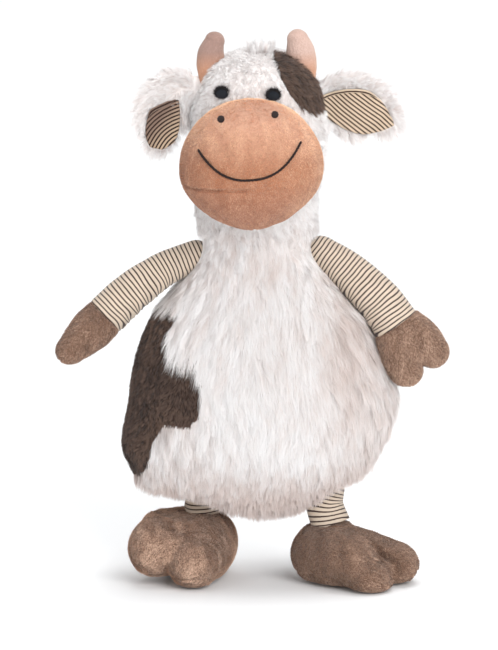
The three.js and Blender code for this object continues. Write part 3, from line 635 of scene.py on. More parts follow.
# Upright forms
# Rows of a shape are shares of height, half width and half depth, from the bottom up
BODY_SHAPE = [[0, 0.26, 0.22], [0.025, 0.56, 0.5], [0.09, 0.82, 0.76], [0.18, 0.965, 0.94], [0.29, 1, 1],
              [0.43, 0.985, 0.98], [0.57, 0.92, 0.89], [0.68, 0.82, 0.8], [0.78, 0.66, 0.69], [0.88, 0.5, 0.6],
              [0.95, 0.414, 0.563], [1, 0.4, 0.563]]
HEAD_SHAPE = [[0, 0.782, 0.637], [0.08, 0.84, 0.73], [0.2, 0.92, 0.86], [0.35, 0.98, 0.97], [0.52, 1, 1],
              [0.68, 0.97, 1], [0.82, 0.87, 0.95], [0.92, 0.68, 0.8], [0.98, 0.4, 0.5], [1, 0.14, 0.18]]
NECK = 239
HEAD_HEIGHT = 125
CROWN = NECK + HEAD_HEIGHT
BODY = dict(shape=BODY_SHAPE, width=176, depth=104, height=184, bottom=55)
HEAD = dict(shape=HEAD_SHAPE, width=90, depth=92, height=HEAD_HEIGHT, bottom=NECK)
POWER = 2.2


def bend(v, power):
    """Sine or cosine for an outline that is squarer than an ellipse"""
    return np.sign(v) * np.abs(v) ** (2 / power)


def upright_rows(form, share):
    rows = curve(form["shape"], share)
    z = form["bottom"] + rows[..., 0] * form["height"]
    return z, rows[..., 1] * form["width"] / 2, rows[..., 2] * form["depth"] / 2


def upright(form, rings, sides, grow):
    share = np.linspace(0, 1, rings)
    z, wide, deep = upright_rows(form, share)
    low, high = (upright_rows(form, np.clip(share + step, 0, 1)) for step in (-0.01, 0.01))
    slope = unit(np.stack([high[1] - low[1], high[0] - low[0]], -1))
    out, lift = grow * slope[:, 1], -grow * slope[:, 0]
    a = ring_angles(sides)
    x = (wide + out)[:, None] * bend(np.cos(a), POWER)
    y = (deep + out)[:, None] * bend(np.sin(a), POWER)
    return np.stack([x, y, np.broadcast_to((z + lift)[:, None], x.shape)], -1)


def front_of(form, x, z):
    """Depth of the front of an upright form"""
    height, wide, deep = upright_rows(form, np.linspace(0, 1, 800))
    wide, deep = np.interp(z, height, wide), np.interp(z, height, deep)
    return -deep * np.maximum(0, 1 - np.abs(x / wide) ** POWER) ** (1 / POWER)


def skins(name, P, on_brown, body, nodes):
    """The ground of the pile in white and in brown, parted at the patch's edge"""
    middle = (P[1:] + P[:-1]) / 2
    brown = on_brown((middle + np.roll(middle, -1, 1)) / 2)
    keep(grid(name + "_undercoat", P, UNDERCOAT, mask=~brown), body, nodes)
    backing = grid(name + "_patch_backing", P, BROWN_SKIN, mask=brown, poles=False)
    keep(backing, body, (name + "_patch",))


# Limbs
def limb(line, sizes, across, rings=60, sides=48, round_start=True, round_end=True, dome=9):
    """Rings round a bent line, with domed ends, and the middle of each ring"""
    line, across = np.asarray(line, float), np.asarray(across, float)
    t = np.linspace(0, 1, rings)
    centre, size = curve(line, t), curve(sizes, t)
    along = unit(curve(line, np.clip(t + 1e-3, 0, 1)) - curve(line, np.clip(t - 1e-3, 0, 1)))
    rows = [(centre[i], along[i], size[i][0], size[i][1]) for i in range(rings)]
    for on, i, sign in ((round_start, 0, -1), (round_end, rings - 1, 1)):
        if on:
            cap = []
            for angle in np.radians(np.linspace(8, 86, dome)):
                middle = centre[i] + along[i] * sign * max(size[i]) * math.sin(angle)
                cap.append((middle, along[i], size[i][0] * math.cos(angle), size[i][1] * math.cos(angle)))
            rows = cap[::-1] + rows if sign < 0 else rows + cap
    a = ring_angles(sides)
    P = []
    for middle, way, wide, deep in rows:
        side = unit(across - way * (across @ way))
        third = np.cross(way, side)
        P.append(middle + wide * np.cos(a)[:, None] * side + deep * np.sin(a)[:, None] * third)
    return np.array(P), np.array([row[0] for row in rows])


# Body
BODY_HALF = BODY["width"] / 2
WRIST_ROOM = {"right": 15, "left": 4}
ARM_LINES = {"right": [(0, 0, 0), (-20, -3, -9), (-34, -6, -19), (-47.5, -8, -30.5), (-60.5, -10, -43)],
             "left": [(0, 0, 0), (14, -3, -11), (27, -6, -23), (38.5, -8, -34.5), (48.5, -10, -49)]}
ARM_SWELL = {"right": [10, 11.6, 13, 13.8, 14.4], "left": [11, 13, 14.6, 15.4, 16.2]}
ARM_SAG = {"right": [3, 2.4, 1, 0, 0], "left": [1, 0.2, -0.6, 0, 0]}
LEG_SWELL = 13.5
FUR_GAP = 0.8
PATCH = np.array([[-0.57, 0.73], [-0.68, 0.66], [-0.665, 0.58], [-0.47, 0.56], [-0.43, 0.49], [-0.445, 0.36],
                  [-0.52, 0.32], [-0.72, 0.315], [-0.765, 0.25], [-0.765, 0.16], [-0.86, 0.1], [-1.3, 0.2],
                  [-1.3, 0.73]]) * [BODY_HALF, BODY["height"]] + [0, BODY["bottom"]]
HEAD_PATCH = np.array([[0.06, 1.2], [0.13, 1], [0.25, 0.925], [0.42, 0.82], [0.62, 0.72], [0.78, 0.68],
                       [1.2, 0.66], [1.2, 1.2]]) * [HEAD["width"] / 2, HEAD_HEIGHT] + [0, NECK]
# Painted shade in the white pile, warm and darker: beside the viewer's right arm, under the chin and above the
# viewer's left foot. Each is a share, place across, half width, place up, half height
PAINTED_SHADE_SPOTS = [(0.45, 55, 13, 165, 34), (0.34, 0, 20, 224, 15), (0.7, -62, 9, 68, 7)]

arm_line, leg_pivot = {}, {}
for side in SIDES:
    pivot = joint_place(f"shoulder_{side}")
    points = np.array(ARM_LINES[side], float)
    points[:, 0] *= (BODY_HALF + WRIST_ROOM[side] - abs(pivot[0])) / abs(points[-1, 0])
    points[:, 2] -= ARM_SAG[side]
    arm_line[side] = points + pivot
    leg_pivot[side] = joint_place(f"hip_{side}")
limbs = [(arm_line[s], ARM_SWELL[s], FUR_GAP) for s in SIDES]
limbs += [(np.array([hip + [0, 0, 12], hip - [0, 0, 30]]), [LEG_SWELL, LEG_SWELL], FUR_GAP)
          for hip in leg_pivot.values()]


def lean(z):
    """How far the soft lower part of the body sits to one side"""
    low = fade(z, 126, 80)
    return 7.5 * low * low * (3 - 2 * low)


def on_patch(p):
    return inside(PATCH, p[..., 0] + 0.8 * lean(p[..., 2]), p[..., 2])


def on_head_patch(p):
    return inside(HEAD_PATCH, p[..., 0], p[..., 2]) & (p[..., 1] < 0)


body_skin = upright(BODY, 150, 220, -1.5)
x, z = body_skin[..., 0].copy(), body_skin[..., 2].copy()
# fuller at the foot and at the neck, a bulge on the left flank, and the neck off to the right
body_skin[..., 0] = x * (1 + np.where(x < 0, 0.11, 0.04) * hill(z, 65, 10))
body_skin[..., 0] += hill(z, 240, 14) * (0.09 * x + 2.5)
body_skin[..., 0] += 4.0 * hill(z, 128, 30) * fade(x, 0, BODY_HALF) - lean(z)
body_skin[..., 0] -= 3.0 * fade(z, 205, 230)
sagging = 3.5 * hill(x, -45, 22) - 4.2 * (np.tanh((x + 14) / 12) - np.tanh((x - 50) / 9))
body_skin[..., 2] += fade(z, 78, 56) * sagging
skins("body", body_skin, on_patch, "torso", ("body_front_cover", "body_back_cover", "body_filling"))

P, N = sample(body_skin, 2.7)
from_shoulder = np.min([np.linalg.norm(P - joint_place(f"shoulder_{side}"), axis=1) for side in SIDES], 0)
bare = on_patch(P) | (from_shoulder <= 12.5)
for hip in leg_pivot.values():
    bare |= (np.hypot(P[:, 0] - hip[0], P[:, 1] - hip[1]) < 14.5) & (P[:, 2] < 70)
p, n = P[~bare], N[~bare]
x, y, z = p.T
comb = combed(n, DOWN + p * [0.0016, 0, 0])
under = fade(-n[:, 2], 0.25, 0.75)[:, None]
comb = unit(comb * (1 - under) + unit(DOWN + n * 0.2) * under)
comb = unit(turned(comb, n, field(p, 34, 5) * 0.16))
height = (z - BODY["bottom"]) / BODY["height"]
long = np.interp(height, [0, 0.05, 0.14, 0.3, 0.6, 0.85, 1], [8, 8, 12, 17, 18, 14, 10])
long = long * (0.4 + 0.6 * fade(from_shoulder[~bare], 12, 42))
for side, hip in leg_pivot.items():
    beside = np.hypot(x - hip[0], y - hip[1])
    least = np.where((side == "left") & (y < hip[1] - 12), 0.95, 0.55)
    long = long * np.where(z < 75, np.clip((beside - 6) / 18, least, 1), 1)
warm = 0.14 + 0.10 * field(p, 26, 9, (1, 1, 2.2))
for share, across, wide, up, high in PAINTED_SHADE_SPOTS:
    warm += share * np.exp(-(((x - across) / wide) ** 2 + ((z - up) / high) ** 2)) * (y < 0)
# Painted shade: warmer and darker low down and towards the viewer's right side
warm += 0.8 * fade(z, 96, 60) + 0.4 * fade(x, 30, 70)
warm += 0.12 * field(p, 6, 44, (1, 1, 2.5))
fur("body_fur", p, n, comb, long, "torso", "white_fur", WHITE_FUR, rise=(0.36, 0.04), wave=0.36, lock=5.0,
    tuft=1.25, clump=(0.2, 0.46), tone=warm, spread=0.1, jitter=0.15, limbs=limbs, taper=1.5, flow=9.0,
    uneven=0.06, order=lambda q: np.arctan2(q[:, 0], -q[:, 1]))

P, N = sample(body_skin, 3.2)
brown = on_patch(P)
p, n = P[brown], N[brown]
comb = unit(turned(combed(n, DOWN), n, field(p, 20, 15) * 0.5))
tones = 0.42 + 0.32 * field(p, 17, 21, (1, 1, 2.6)) + 0.12 * field(p, 4, 23)
fur("patch_fur", p, n, comb, 3.6, "torso", "brown_fur", BROWN_FUR, rise=(0.7, 0.35), wave=0.1,
    wave_length=14.0, clump=(0.3, 0.35), steps=2, tone=tones, limbs=limbs)

# Muzzle
ROLL = math.radians(3.5)
# Half width, and height above and below the middle
MUZZLE_HALF, MUZZLE_UP, MUZZLE_DOWN = 48, 47, 40
# Depth in all, and how much of it lies behind the middle
MUZZLE_REACH, MUZZLE_BACK = 76, 28
MUZZLE_CENTRE = np.array([-5.0, -46.0, CROWN - 73.0])
MUZZLE_CORE = np.array([0, 20, 0])
MUZZLE_DOME = [[0, 0.72], [0.2, 0.93], [0.42, 1], [0.6, 0.96], [0.76, 0.86], [0.88, 0.69], [0.96, 0.45],
               [1, 0.14]]
SEAM_UP = [-12, -7.2, -5.7, -5.1, -3.9, -0.5]
SEAM_DEPTH = [0, -0.45, 0.9, 1.0, -0.3, 0]
NOSTRILS = {"right": (-18, 39.0), "left": (18, 39.6)}


def muzzle_offset(angle, scale):
    """Place in the rolled outline, seen from the front, before the roll"""
    up = np.sin(angle)
    taper = np.where(up < 0, 1 - 0.2 * up * up, 1)
    return MUZZLE_HALF * scale * np.cos(angle) * taper, np.where(up > 0, MUZZLE_UP, MUZZLE_DOWN) * scale * up


def outline_share(x, up):
    """1 on the widest outline of the muzzle, less inside it"""
    angle = np.arctan2(up / np.where(up > 0, MUZZLE_UP, MUZZLE_DOWN), x / MUZZLE_HALF)
    return np.hypot(x, up) / np.maximum(np.hypot(*muzzle_offset(angle, 1.0)), 1e-6)


def rolled(x, up, roll=ROLL):
    return x * math.cos(roll) - up * math.sin(roll), x * math.sin(roll) + up * math.cos(roll)


rows = curve(MUZZLE_DOME, np.linspace(0, 1, 170) ** 0.8)
x, up = muzzle_offset(ring_angles(260, 0)[None], rows[:, 1:2])
y = np.broadcast_to(-(MUZZLE_REACH * rows[:, 0] - MUZZLE_BACK)[:, None], x.shape)
seam = np.interp(up, SEAM_UP, SEAM_DEPTH) * 1.5 * np.clip((22 - x) / 50, 0.12, 1)
seam = seam * fade(fade(-y, 0, 48), 0.15, 0.55)
middle = hill(x, 0, 1.1) * fade(up, -7, -21) * 0.6
P = np.stack([x, y, up], -1)
ripple = 0.35 * field(P, 26, 31) + 0.12 * field(P, 9, 33)
P = P + unit(P - MUZZLE_CORE) * (ripple - seam - middle)[..., None]
x, up = rolled(P[..., 0], P[..., 2])
muzzle_skin = grid("muzzle_velour_skin", np.stack([x, P[..., 1], up], -1) + MUZZLE_CENTRE, PEACH)
keep(muzzle_skin, "head", ("muzzle_upper", "muzzle_chin", "muzzle_filling"))


def on_muzzle(x, up):
    """A point on the front of the muzzle"""
    x, up = np.asarray(x, float), np.asarray(up, float)
    table = curve(MUZZLE_DOME, np.linspace(0.286, 1, 400))
    reach = np.interp(-outline_share(x, up), -table[:, 1], table[:, 0])
    across, high = rolled(x, up)
    return np.stack([across, -(MUZZLE_REACH * reach - MUZZLE_BACK), high], -1) + MUZZLE_CENTRE


def muzzle_out(x, up):
    """The direction square to the muzzle at a place on its front"""
    across = on_muzzle(x + 1, up) - on_muzzle(x - 1, up)
    return unit(np.cross(across, on_muzzle(x, up + 1) - on_muzzle(x, up - 1)))


def muzzle_share(p):
    """1 on the widest outline of the muzzle, seen from the front"""
    q = p - MUZZLE_CENTRE
    return outline_share(*rolled(q[..., 0], q[..., 2], -ROLL))


def muzzle_depth(share, part):
    """How far back the muzzle's skin lies at a share of its outline, on its front or its back"""
    table = curve(MUZZLE_DOME, np.linspace(0, 1, 400))
    widest = int(table[:, 1].argmax())
    rows = table[widest:][::-1] if part == "front" else table[:widest + 1]
    return np.interp(share, rows[:, 1], MUZZLE_BACK - MUZZLE_REACH * rows[:, 0]) + MUZZLE_CENTRE[1]


# Head
EYES = {"right": (-25.0, CROWN - 24.2), "left": (9.6, CROWN - 24.2)}
HORN_ROOTS = {"right": (-33.5, CROWN - 24.0), "left": (28.5, CROWN - 24.0)}
HORN_LINES = {"right": [(-28.5, 0, -27), (-31.8, 0, -14), (-31.8, 0, -4), (-29.6, 0, 3.8)],
              "left": [(26.5, 0, -26), (27.8, 0, -13), (27.6, 0, -3.5), (25.6, 0, 5.4)]}
HORN_SWELL = {"right": [9.8, 9.4, 8.8, 6.6], "left": [10.8, 10.8, 9.8, 6.9]}
horn_lines = {side: np.array(HORN_LINES[side], float) + [0, 0, CROWN] for side in SIDES}
head_limbs = [(horn_lines[s], HORN_SWELL[s], 0.3) for s in SIDES]

head_skin = upright(HEAD, 130, 200, -1.5)
x, z = head_skin[..., 0], head_skin[..., 2]
x -= 3.0 * fade(z, 290, 250)
z -= 2.2 * fade(z, 335, 363)
x += fade(z, 266, 242) * (0.08 * x + 2.5)
skins("head", head_skin, on_head_patch, "head", ("head_face_cover", "head_back_cover", "head_filling"))


def eye_share(p, eye):
    """Square of how far out in an eye a place lies, seen from the front: 1 on its outline"""
    return ((p[..., 0] - eye[0]) / 4.4) ** 2 + ((p[..., 2] - eye[1]) / 4.1) ** 2


def bare_head(p):
    """Where the muzzle or a horn is sewn on"""
    share = muzzle_share(p)
    found = (share < 0.985) & (p[..., 1] < muzzle_depth(share, "back") + 0.5)
    for x, z in HORN_ROOTS.values():
        found |= (np.hypot(p[:, 0] - x, p[:, 1]) < 8.0) & (p[:, 2] - z > -6)
    return found


def clear_of_face(paths):
    """Strands that lie over neither an eye nor the muzzle"""
    seen = np.ones(len(paths), bool)
    for eye in EYES.values():
        far = np.where(paths[..., 1] < 0, np.sqrt(eye_share(paths, eye)), 9).min(1)
        seen &= np.where(paths[:, 0, 2] > eye[1] + 3.5, far > 0.84, far > 0.95)
    share = muzzle_share(paths)
    return seen & ~((paths[..., 1] < muzzle_depth(share, "front") + 0.3) & (share < 0.93)).any(1)


P, N = sample(head_skin, 3.2)
bare = on_head_patch(P) | bare_head(P)
for side in SIDES:
    bare |= (P[:, 1] < 0) & (eye_share(P, EYES[side]) < 1)
    bare |= np.linalg.norm(P - joint_place(f"ear_flop_{side}"), axis=1) <= 7
p, n = P[~bare], N[~bare]
# down and away from the middle of the face, and out from the crown
comb = combed(n, DOWN + p * [0.012, 0.006, 0])
comb = unit(turned(comb, n, field(p, 14, 41) * 0.6))
z = p[:, 2]
face = fade(-p[:, 1], 0, 30) * fade(z, 300, 320)
cheek, collar = fade(z, 310, 270), fade(z, 264, 242)
long = 6.4 - 2.3 * face + 0.6 * cheek + 3.0 * fade(z, 270, 245) - 2.0 * fade(z, 340, 358) * (1 - face)
rise = (0.9 + 0.2 * face - 0.35 * cheek + 0.3 * collar, 0.5 + 0.25 * face - 0.3 * cheek + 0.25 * collar)
# Tone that differs at random, with painted shade towards the neck under the muzzle
warm = 0.10 * field(p, 14, 43) + 0.25 * fade(z, 262, 242)
fur("head_fur", p, n, comb, long, "head", "white_fur", WHITE_FUR, rise=rise, wave=0.6, wave_length=4.0,
    curl=0.8, lock=2.8, clump=(0.2, 0.42), tone=warm, spread=0.35, taper=1.7, uneven=0.08, limbs=head_limbs,
    keep_if=clear_of_face, order=lambda q: q[:, 1])

P, N = sample(head_skin, 3.6)
brown = on_head_patch(P) & ~bare_head(P)
p, n = P[brown], N[brown]
tones = 0.6 + 0.25 * field(p, 10, 51) + 0.1 * field(p, 3, 53)
fur("head_patch_fur", p, n, combed(n, (0.5, 0, -1)), 5.0, "head", "brown_fur", BROWN_FUR,
    rise=(0.75, 0.35), wave=0.2, wave_length=7.0, curl=0.4, width=0.28, steps=3, tone=tones, limbs=head_limbs,
    keep_if=clear_of_face)

# Crown tuft
TUFT_COUNT, TUFT_RADIUS = 700, 8
a, r = rng.uniform(0, 6.28, TUFT_COUNT), np.sqrt(rng.random(TUFT_COUNT)) * TUFT_RADIUS
p = np.stack([r * np.cos(a) + 1, r * np.sin(a) * 0.9 - 1, np.full(TUFT_COUNT, CROWN - 5.0)], 1)
n = unit(np.stack([p[:, 0] * 0.05, p[:, 1] * 0.04 - 0.1, np.ones(TUFT_COUNT)], 1))
fur("crown_tuft_fur", p, n, combed(n, (0.3, -0.7, 0)), 15.0 - 0.5 * r, "head", "white_fur", WHITE_FUR,
    rise=(1.5, 1.25), wave=0.14, curl=0.3, lock=5.0, tuft=1.8, clump=(0.5, 0.5), width=0.34, steps=5, tone=0.05,
    spread=0.18, jitter=0.25)
base, _ = limb([(1, -1, CROWN - 10), (1, -2, CROWN - 3)], [[7, 7], [4, 4]], ACROSS, 14, 24)
keep(grid("crown_tuft_base", base, UNDERCOAT), "head", ("crown_tuft",))

# Horns
for side in SIDES:
    sizes = [[0.86 * r, r] for r in HORN_SWELL[side]]
    horn, _ = limb(horn_lines[side], sizes, ACROSS, 70, 60, dome=12)
    horn = horn + normals(horn) * (0.3 * field(horn, 14, 61) + 0.12 * field(horn, 5, 62))[..., None]
    nodes = (f"horn_cover_{side}", f"horn_filling_{side}")
    keep(grid(f"horn_{side}_skin", horn, HORN), "head", nodes)

# Eyes, nostrils and smile
EYE_HALF, EYE_RISE, EYE_TILT = (4.5, 3.95), 2.6, 0.28
EYE_THREAD, EYE_THREAD_RISE = 0.62, 0.13
FUZZ_COUNT = 420
NOSTRIL_RADIUS = 2.5
SIGHT, SIGHT_ACROSS, SIGHT_UP = np.array([[0, -0.978, 0.208], [1.0, 0, 0], [0, 0.208, 0.978]])
SMILE_HALF, SMILE_RISE, SMILE_BOTTOM, SMILE_LEAN = 34.0, 20.0, 1.0, 0.6
STITCH, STITCH_OVERLAP = 2.5, 0.12


def eye(side, x0, z0):
    """A crowned oval of upright threads, with dark fuzz round its upper rim"""
    y0 = float(front_of(HEAD, x0, z0))
    rr, aa = np.meshgrid(np.linspace(1, 0.02, 26), ring_angles(64, 0), indexing="ij")
    x, z = EYE_HALF[0] * rr * bend(np.cos(aa), 2.15), EYE_HALF[1] * rr * bend(np.sin(aa), 2.15)
    y = -EYE_RISE * np.sqrt(np.maximum(0, 1 - rr**2)) ** 0.9
    y = y - EYE_THREAD_RISE * np.abs(np.sin(x * math.pi / EYE_THREAD)) * np.clip(1.15 - rr, 0, 1)
    cos, sin = math.cos(EYE_TILT), math.sin(EYE_TILT)
    p = np.stack([x0 + x, y0 - 0.6 + y * cos + z * sin * 0.8, z0 + z * cos - y * sin * 0.3], -1)
    stitching = grid(f"eye_{side}_stitching", np.concatenate([p[:1] + [0, 3, 0], p]), EYE)
    keep(stitching, "head", (f"eye_{side}",))
    count = FUZZ_COUNT
    a = math.pi / 2 + rng.normal(0, 1.3, count)
    r = rng.uniform(3.0, 4.2, count)
    p = np.stack([x0 + r * np.cos(a), y0 - 2.0 + 0.2 * (r - 3), z0 + 0.88 * r * np.sin(a)], 1)
    n = np.broadcast_to([0.0, -1.0, 0.0], p.shape).copy()
    radial = np.stack([np.cos(a), 0 * a, np.sin(a)], 1)
    lengths = rng.uniform(1.3, 3.0, count) * (1.0 + 0.35 * np.sin(a))
    rise = [np.full(count, 0.7), np.full(count, 0.3)]
    lines = strand_paths(p, n, radial, lengths, rise, rng.normal(0, 0.2, count), 5.0, 0.0, 3)
    blade_mesh(f"eye_{side}_fuzz", lines, n, np.full(count, 0.24), rng.normal(0, 0.4, count), rng.random(count),
               FUZZ, "head", "eye_thread")


def nostril(side):
    """A round knot of thread whose sides run along the line of sight"""
    out = muzzle_out(*NOSTRILS[side])
    ring, lift = np.meshgrid(ring_angles(40, 0), np.linspace(-0.9, 1.2, 18))
    radius = NOSTRIL_RADIUS * np.sqrt(np.maximum(0.002, 1 - (lift / 1.22) ** 2)) ** 0.8
    radius = radius * (1 + 0.05 * np.sin(ring * 9 + lift * 3))
    flat = radius[..., None] * (np.cos(ring)[..., None] * SIGHT_ACROSS + np.sin(ring)[..., None] * SIGHT_UP)
    p = on_muzzle(*NOSTRILS[side]) + flat + ((lift - flat @ out) / (SIGHT @ out))[..., None] * SIGHT
    keep(grid(f"nostril_{side}_stitching", p, MOUTH), "head", (f"nostril_{side}",))


for side in SIDES:
    eye(side, *EYES[side])
    nostril(side)

share = np.linspace(-1, 1, 41)
smile_up = SMILE_RISE * np.abs(share) ** 2.5 + SMILE_BOTTOM + SMILE_LEAN * share
smile_line = on_muzzle(share * SMILE_HALF, smile_up)
run = run_of(smile_line)
number = int(run[-1] / STITCH)
stitches = []
for i in range(number):
    a, b = (np.array([np.interp(s * run[-1] / number, run, smile_line[:, k]) for k in range(3)])
            for s in (i - STITCH_OVERLAP, i + 1 + STITCH_OVERLAP))
    way = unit(b - a)
    out = unit((a + b) / 2 - (MUZZLE_CENTRE + MUZZLE_CORE))
    aside = np.cross(way, out) * 0.22
    spine = [a - aside + out * 0.1, (a + b) / 2 + out * 0.75, b + aside + out * 0.1]
    stitches.append(limb(spine, [[0.55, 0.6], [0.8, 0.86], [0.55, 0.6]], out, 7, 10, dome=3)[0])
smile = add_mesh("smile_stitches", *joined(stitches), MOUTH)
keep(smile, "head", ("smile_stitch",))

# Ears: a furred leaf with a striped lining in its dish
PIXEL = 0.67
MIDDLE_COLUMN, FLOOR_ROW, FLOOR_RISE = 259, 596, 12.9
EARS = {
    "right": dict(depth=-4, half=[13, 22, 26, 24, 14],
                  line=[(194, 88), (180, 90), (165, 103), (160, 120), (159, 135)],
                  upper=[(174.5, 98), (163, 102.5), (151, 109), (146.5, 121), (146, 134), (150, 144)],
                  lower=[(179, 99), (180, 108), (180, 118), (178.5, 129), (174, 139.5), (162, 146.5)],
                  hem=(3, 30, 7), cloth=SHADED_LINING),
    "left": dict(depth=-2, half=[12, 26, 31, 28, 17],
                 line=[(316, 100), (333, 100), (353, 102.5), (373, 108), (385, 116)],
                 upper=[(311, 101), (324, 94.5), (340, 89.5), (356, 88), (371, 91), (383, 101), (393, 118)],
                 lower=[(314, 105.5), (324, 114), (337, 122.5), (350, 128.5), (364, 131.5), (380, 128.5),
                        (394, 122.5)],
                 hem=(4, 46, 9), cloth=LINING),
}
STRIPE_CENTRE = (195, 162)
STRIPE_TURN = math.radians(-38)
EAR_DISH = 6.3
LINING_THICK = 0.9


def pictured(points, depth):
    """Millimetres across and up for points of the picture at a depth"""
    x, y = np.array(points, float).T
    up = ((FLOOR_ROW - y) * PIXEL - FLOOR_RISE - SIGHT_UP[1] * depth) / SIGHT_UP[2]
    return np.stack([(x - MIDDLE_COLUMN) * PIXEL, up], -1)


def front_face(P, x, z):
    """Depth of the nearest front-facing skin at places of the picture plane"""
    front = P[normals(P)[..., 1] < -0.05]
    tree = tree_of(front * [1, 0, 1])
    found = []
    for a, b in zip(x.ravel(), z.ravel()):
        near = tree.find_n((a, 0, b), 6)
        weight = np.array([1 / (d + 0.4) for _, _, d in near])
        found.append((front[[i for _, i, _ in near], 1] * weight).sum() / weight.sum())
    return np.array(found).reshape(x.shape)


def ear_skin(side, line, sizes):
    ear, _ = limb(line, sizes, ACROSS, 56, 72)
    rings, sides = ear.shape[:2]
    dish = np.clip(-np.cos(ring_angles(sides)), 0, 1) ** 1.6
    grow = np.interp(np.arange(rings), [0, 9, 20, rings - 14, rings - 1], [0, 0.2, 1, 0.9, 0])
    ear[..., 1] += EAR_DISH * dish[None] * grow[:, None]
    keep(grid(f"ear_{side}_skin", ear, UNDERCOAT), f"ear_{side}", (f"ear_back_{side}",))
    return ear


def stripes(side, lay, depth):
    """Coordinates in mm along the thread and square to it; those of the right lining run round a point"""
    if side == "right":
        far = lay[..., [0, 2]] - pictured([STRIPE_CENTRE], depth)[0]
        return np.stack([35 * np.arctan2(far[..., 1], far[..., 0]), np.hypot(far[..., 0], far[..., 1])], -1)
    x, z = lay[..., 0] - lay[..., 0].mean(), lay[..., 2] - lay[..., 2].mean()
    cos, sin = math.cos(STRIPE_TURN), math.sin(STRIPE_TURN)
    return np.stack([x * cos + z * sin, -x * sin + z * cos + 0.35 * field(lay, 22, 72)], -1)


def ear_lining(side, ear, upper, lower):
    """A sheet laid in the dish, with its upper edge folded over and sewn"""
    leaf = EARS[side]
    b = np.linspace(-1, 1, 44)[None, :, None]
    flat = upper[:, None] * ((1 - b) / 2) + lower[:, None] * ((1 + b) / 2)
    lay = np.stack([flat[..., 0], front_face(ear, flat[..., 0], flat[..., 1]), flat[..., 1]], -1)
    y = lay[..., 1]
    for _ in range(4):
        y[1:-1, 1:-1] = (y[1:-1, 1:-1] * 2 + y[:-2, 1:-1] + y[2:, 1:-1] + y[1:-1, :-2] + y[1:-1, 2:]) / 6
    y -= 1.8 + 0.25 * (1 + field(lay, 9, 71))
    sheet = np.concatenate([lay, (lay + [0, LINING_THICK, 0])[:, ::-1]], 1)
    uv = stripes(side, lay, leaf["depth"])
    uv = np.concatenate([uv, uv[:, ::-1], uv[:, :1]], 1)
    lining = grid(f"ear_{side}_lining", sheet, leaf["cloth"], uv=uv)
    keep(lining, f"ear_{side}", (f"ear_lining_{side}",))
    rim = lay[np.linspace(*leaf["hem"]).astype(int), 0] + [0, -0.5, -0.4]
    sizes = [[0.7, 0.5]] + [[1.0, 1.35]] * (len(rim) - 2) + [[0.7, 0.5]]
    hem, _ = limb(rim, sizes, ACROSS, 60, 20, dome=4)
    girth = np.arange(21) / 20 * 7.2
    uv = np.stack(np.broadcast_arrays(run_of(hem.mean(1))[:, None], girth[None]), -1)
    keep(grid(f"ear_{side}_hem", hem, leaf["cloth"], uv=uv), f"ear_{side}")


def ear_fur(side, ear, line, sizes, outline):
    """Pile on the back and round the rim, leaning to the tip and curling over the rim"""
    P, N = sample(ear, 2.8)
    t = np.linspace(0, 1, 200)
    spine = curve(line, t)
    near = nearest(P * [1, 0, 1], spine * [1, 0, 1])
    tangent = unit(np.gradient(spine, axis=0))[near]
    off = (P - spine[near]) * [1, 0, 1]
    rim_share = np.linalg.norm(off, axis=1) / np.maximum(1e-6, curve(sizes, t[near])[:, 1])
    lined = (N[:, 1] < -0.1) & inside(outline, P[:, 0], P[:, 2])
    use = ~lined & (t[near] > 0.0)
    p, n, out = P[use], N[use], unit(off[use] + 1e-6)
    comb = combed(n, tangent[use] * 0.75 + out * 0.9 + [0, 0, -0.15])
    rim = fade(rim_share[use], 0.6, 1.0)
    long = 6.2 + rim * np.where(out[:, 2] > 0, 1.5 * np.clip(out[:, 2], 0, 1), 3.5)
    long += 2.2 * rim * np.clip(0.3 - out[:, 0], 0, 1) if side == "right" else 2.5 * rim * (out[:, 2] < -0.2)
    fur(f"ear_{side}_fur", p, n, comb, long, f"ear_{side}", "white_fur", WHITE_FUR,
        rise=(0.75 - 0.1 * rim, 0.25), wave=0.28, wave_length=9.0, curl=0.4, lock=4.0, tuft=1.4,
        clump=(0.35, 0.5), tone=0.12, spread=0.2, jitter=0.22)


for side, leaf in EARS.items():
    across, up = pictured(leaf["line"], leaf["depth"]).T
    line = np.stack([across, leaf["depth"] * np.array([0, 0.4, 1, 1.3, 1.4]), up], 1)
    sizes = np.stack([[4.2, 4.6, 4.8, 4.4, 3.4], np.array(leaf["half"]) * PIXEL], 1)
    ear = ear_skin(side, line, sizes)
    upper, lower = (curve(pictured(leaf[edge], leaf["depth"]), np.linspace(0, 1, 64))
                    for edge in ("upper", "lower"))
    ear_lining(side, ear, upper, lower)
    ear_fur(side, ear, line, sizes, np.concatenate([upper, lower[::-1]]))


def shortened(v, limit):
    """Vectors no longer than a limit"""
    return v * np.minimum(1, limit / np.maximum(np.linalg.norm(v, axis=1), 1e-6))[:, None]


def grooved(p, n, distance, half, depth):
    """Points sunk into a sewn groove, by their distance from its middle"""
    return p - n * (depth * np.clip(1 - np.abs(distance) / half, 0, 1))[:, None]


# Arms and hands
# Spread is the way that a hand's lobes part, gap is how far, and shift how far they swing along it. Light
# is the tone of the pile: painted shade, darker on the hand on the viewer's left than on the other
HANDS = {"right": dict(spread=(0.25, 0.95, 0), shift=0.0, gap=14.0, wide=0.84, length=38, light=0.2),
         "left": dict(spread=(0.95, 0.2, 0.3), shift=-1.0, gap=22.0, wide=0.76, length=36, light=0.42)}
HAND_DEPTH = 13.5


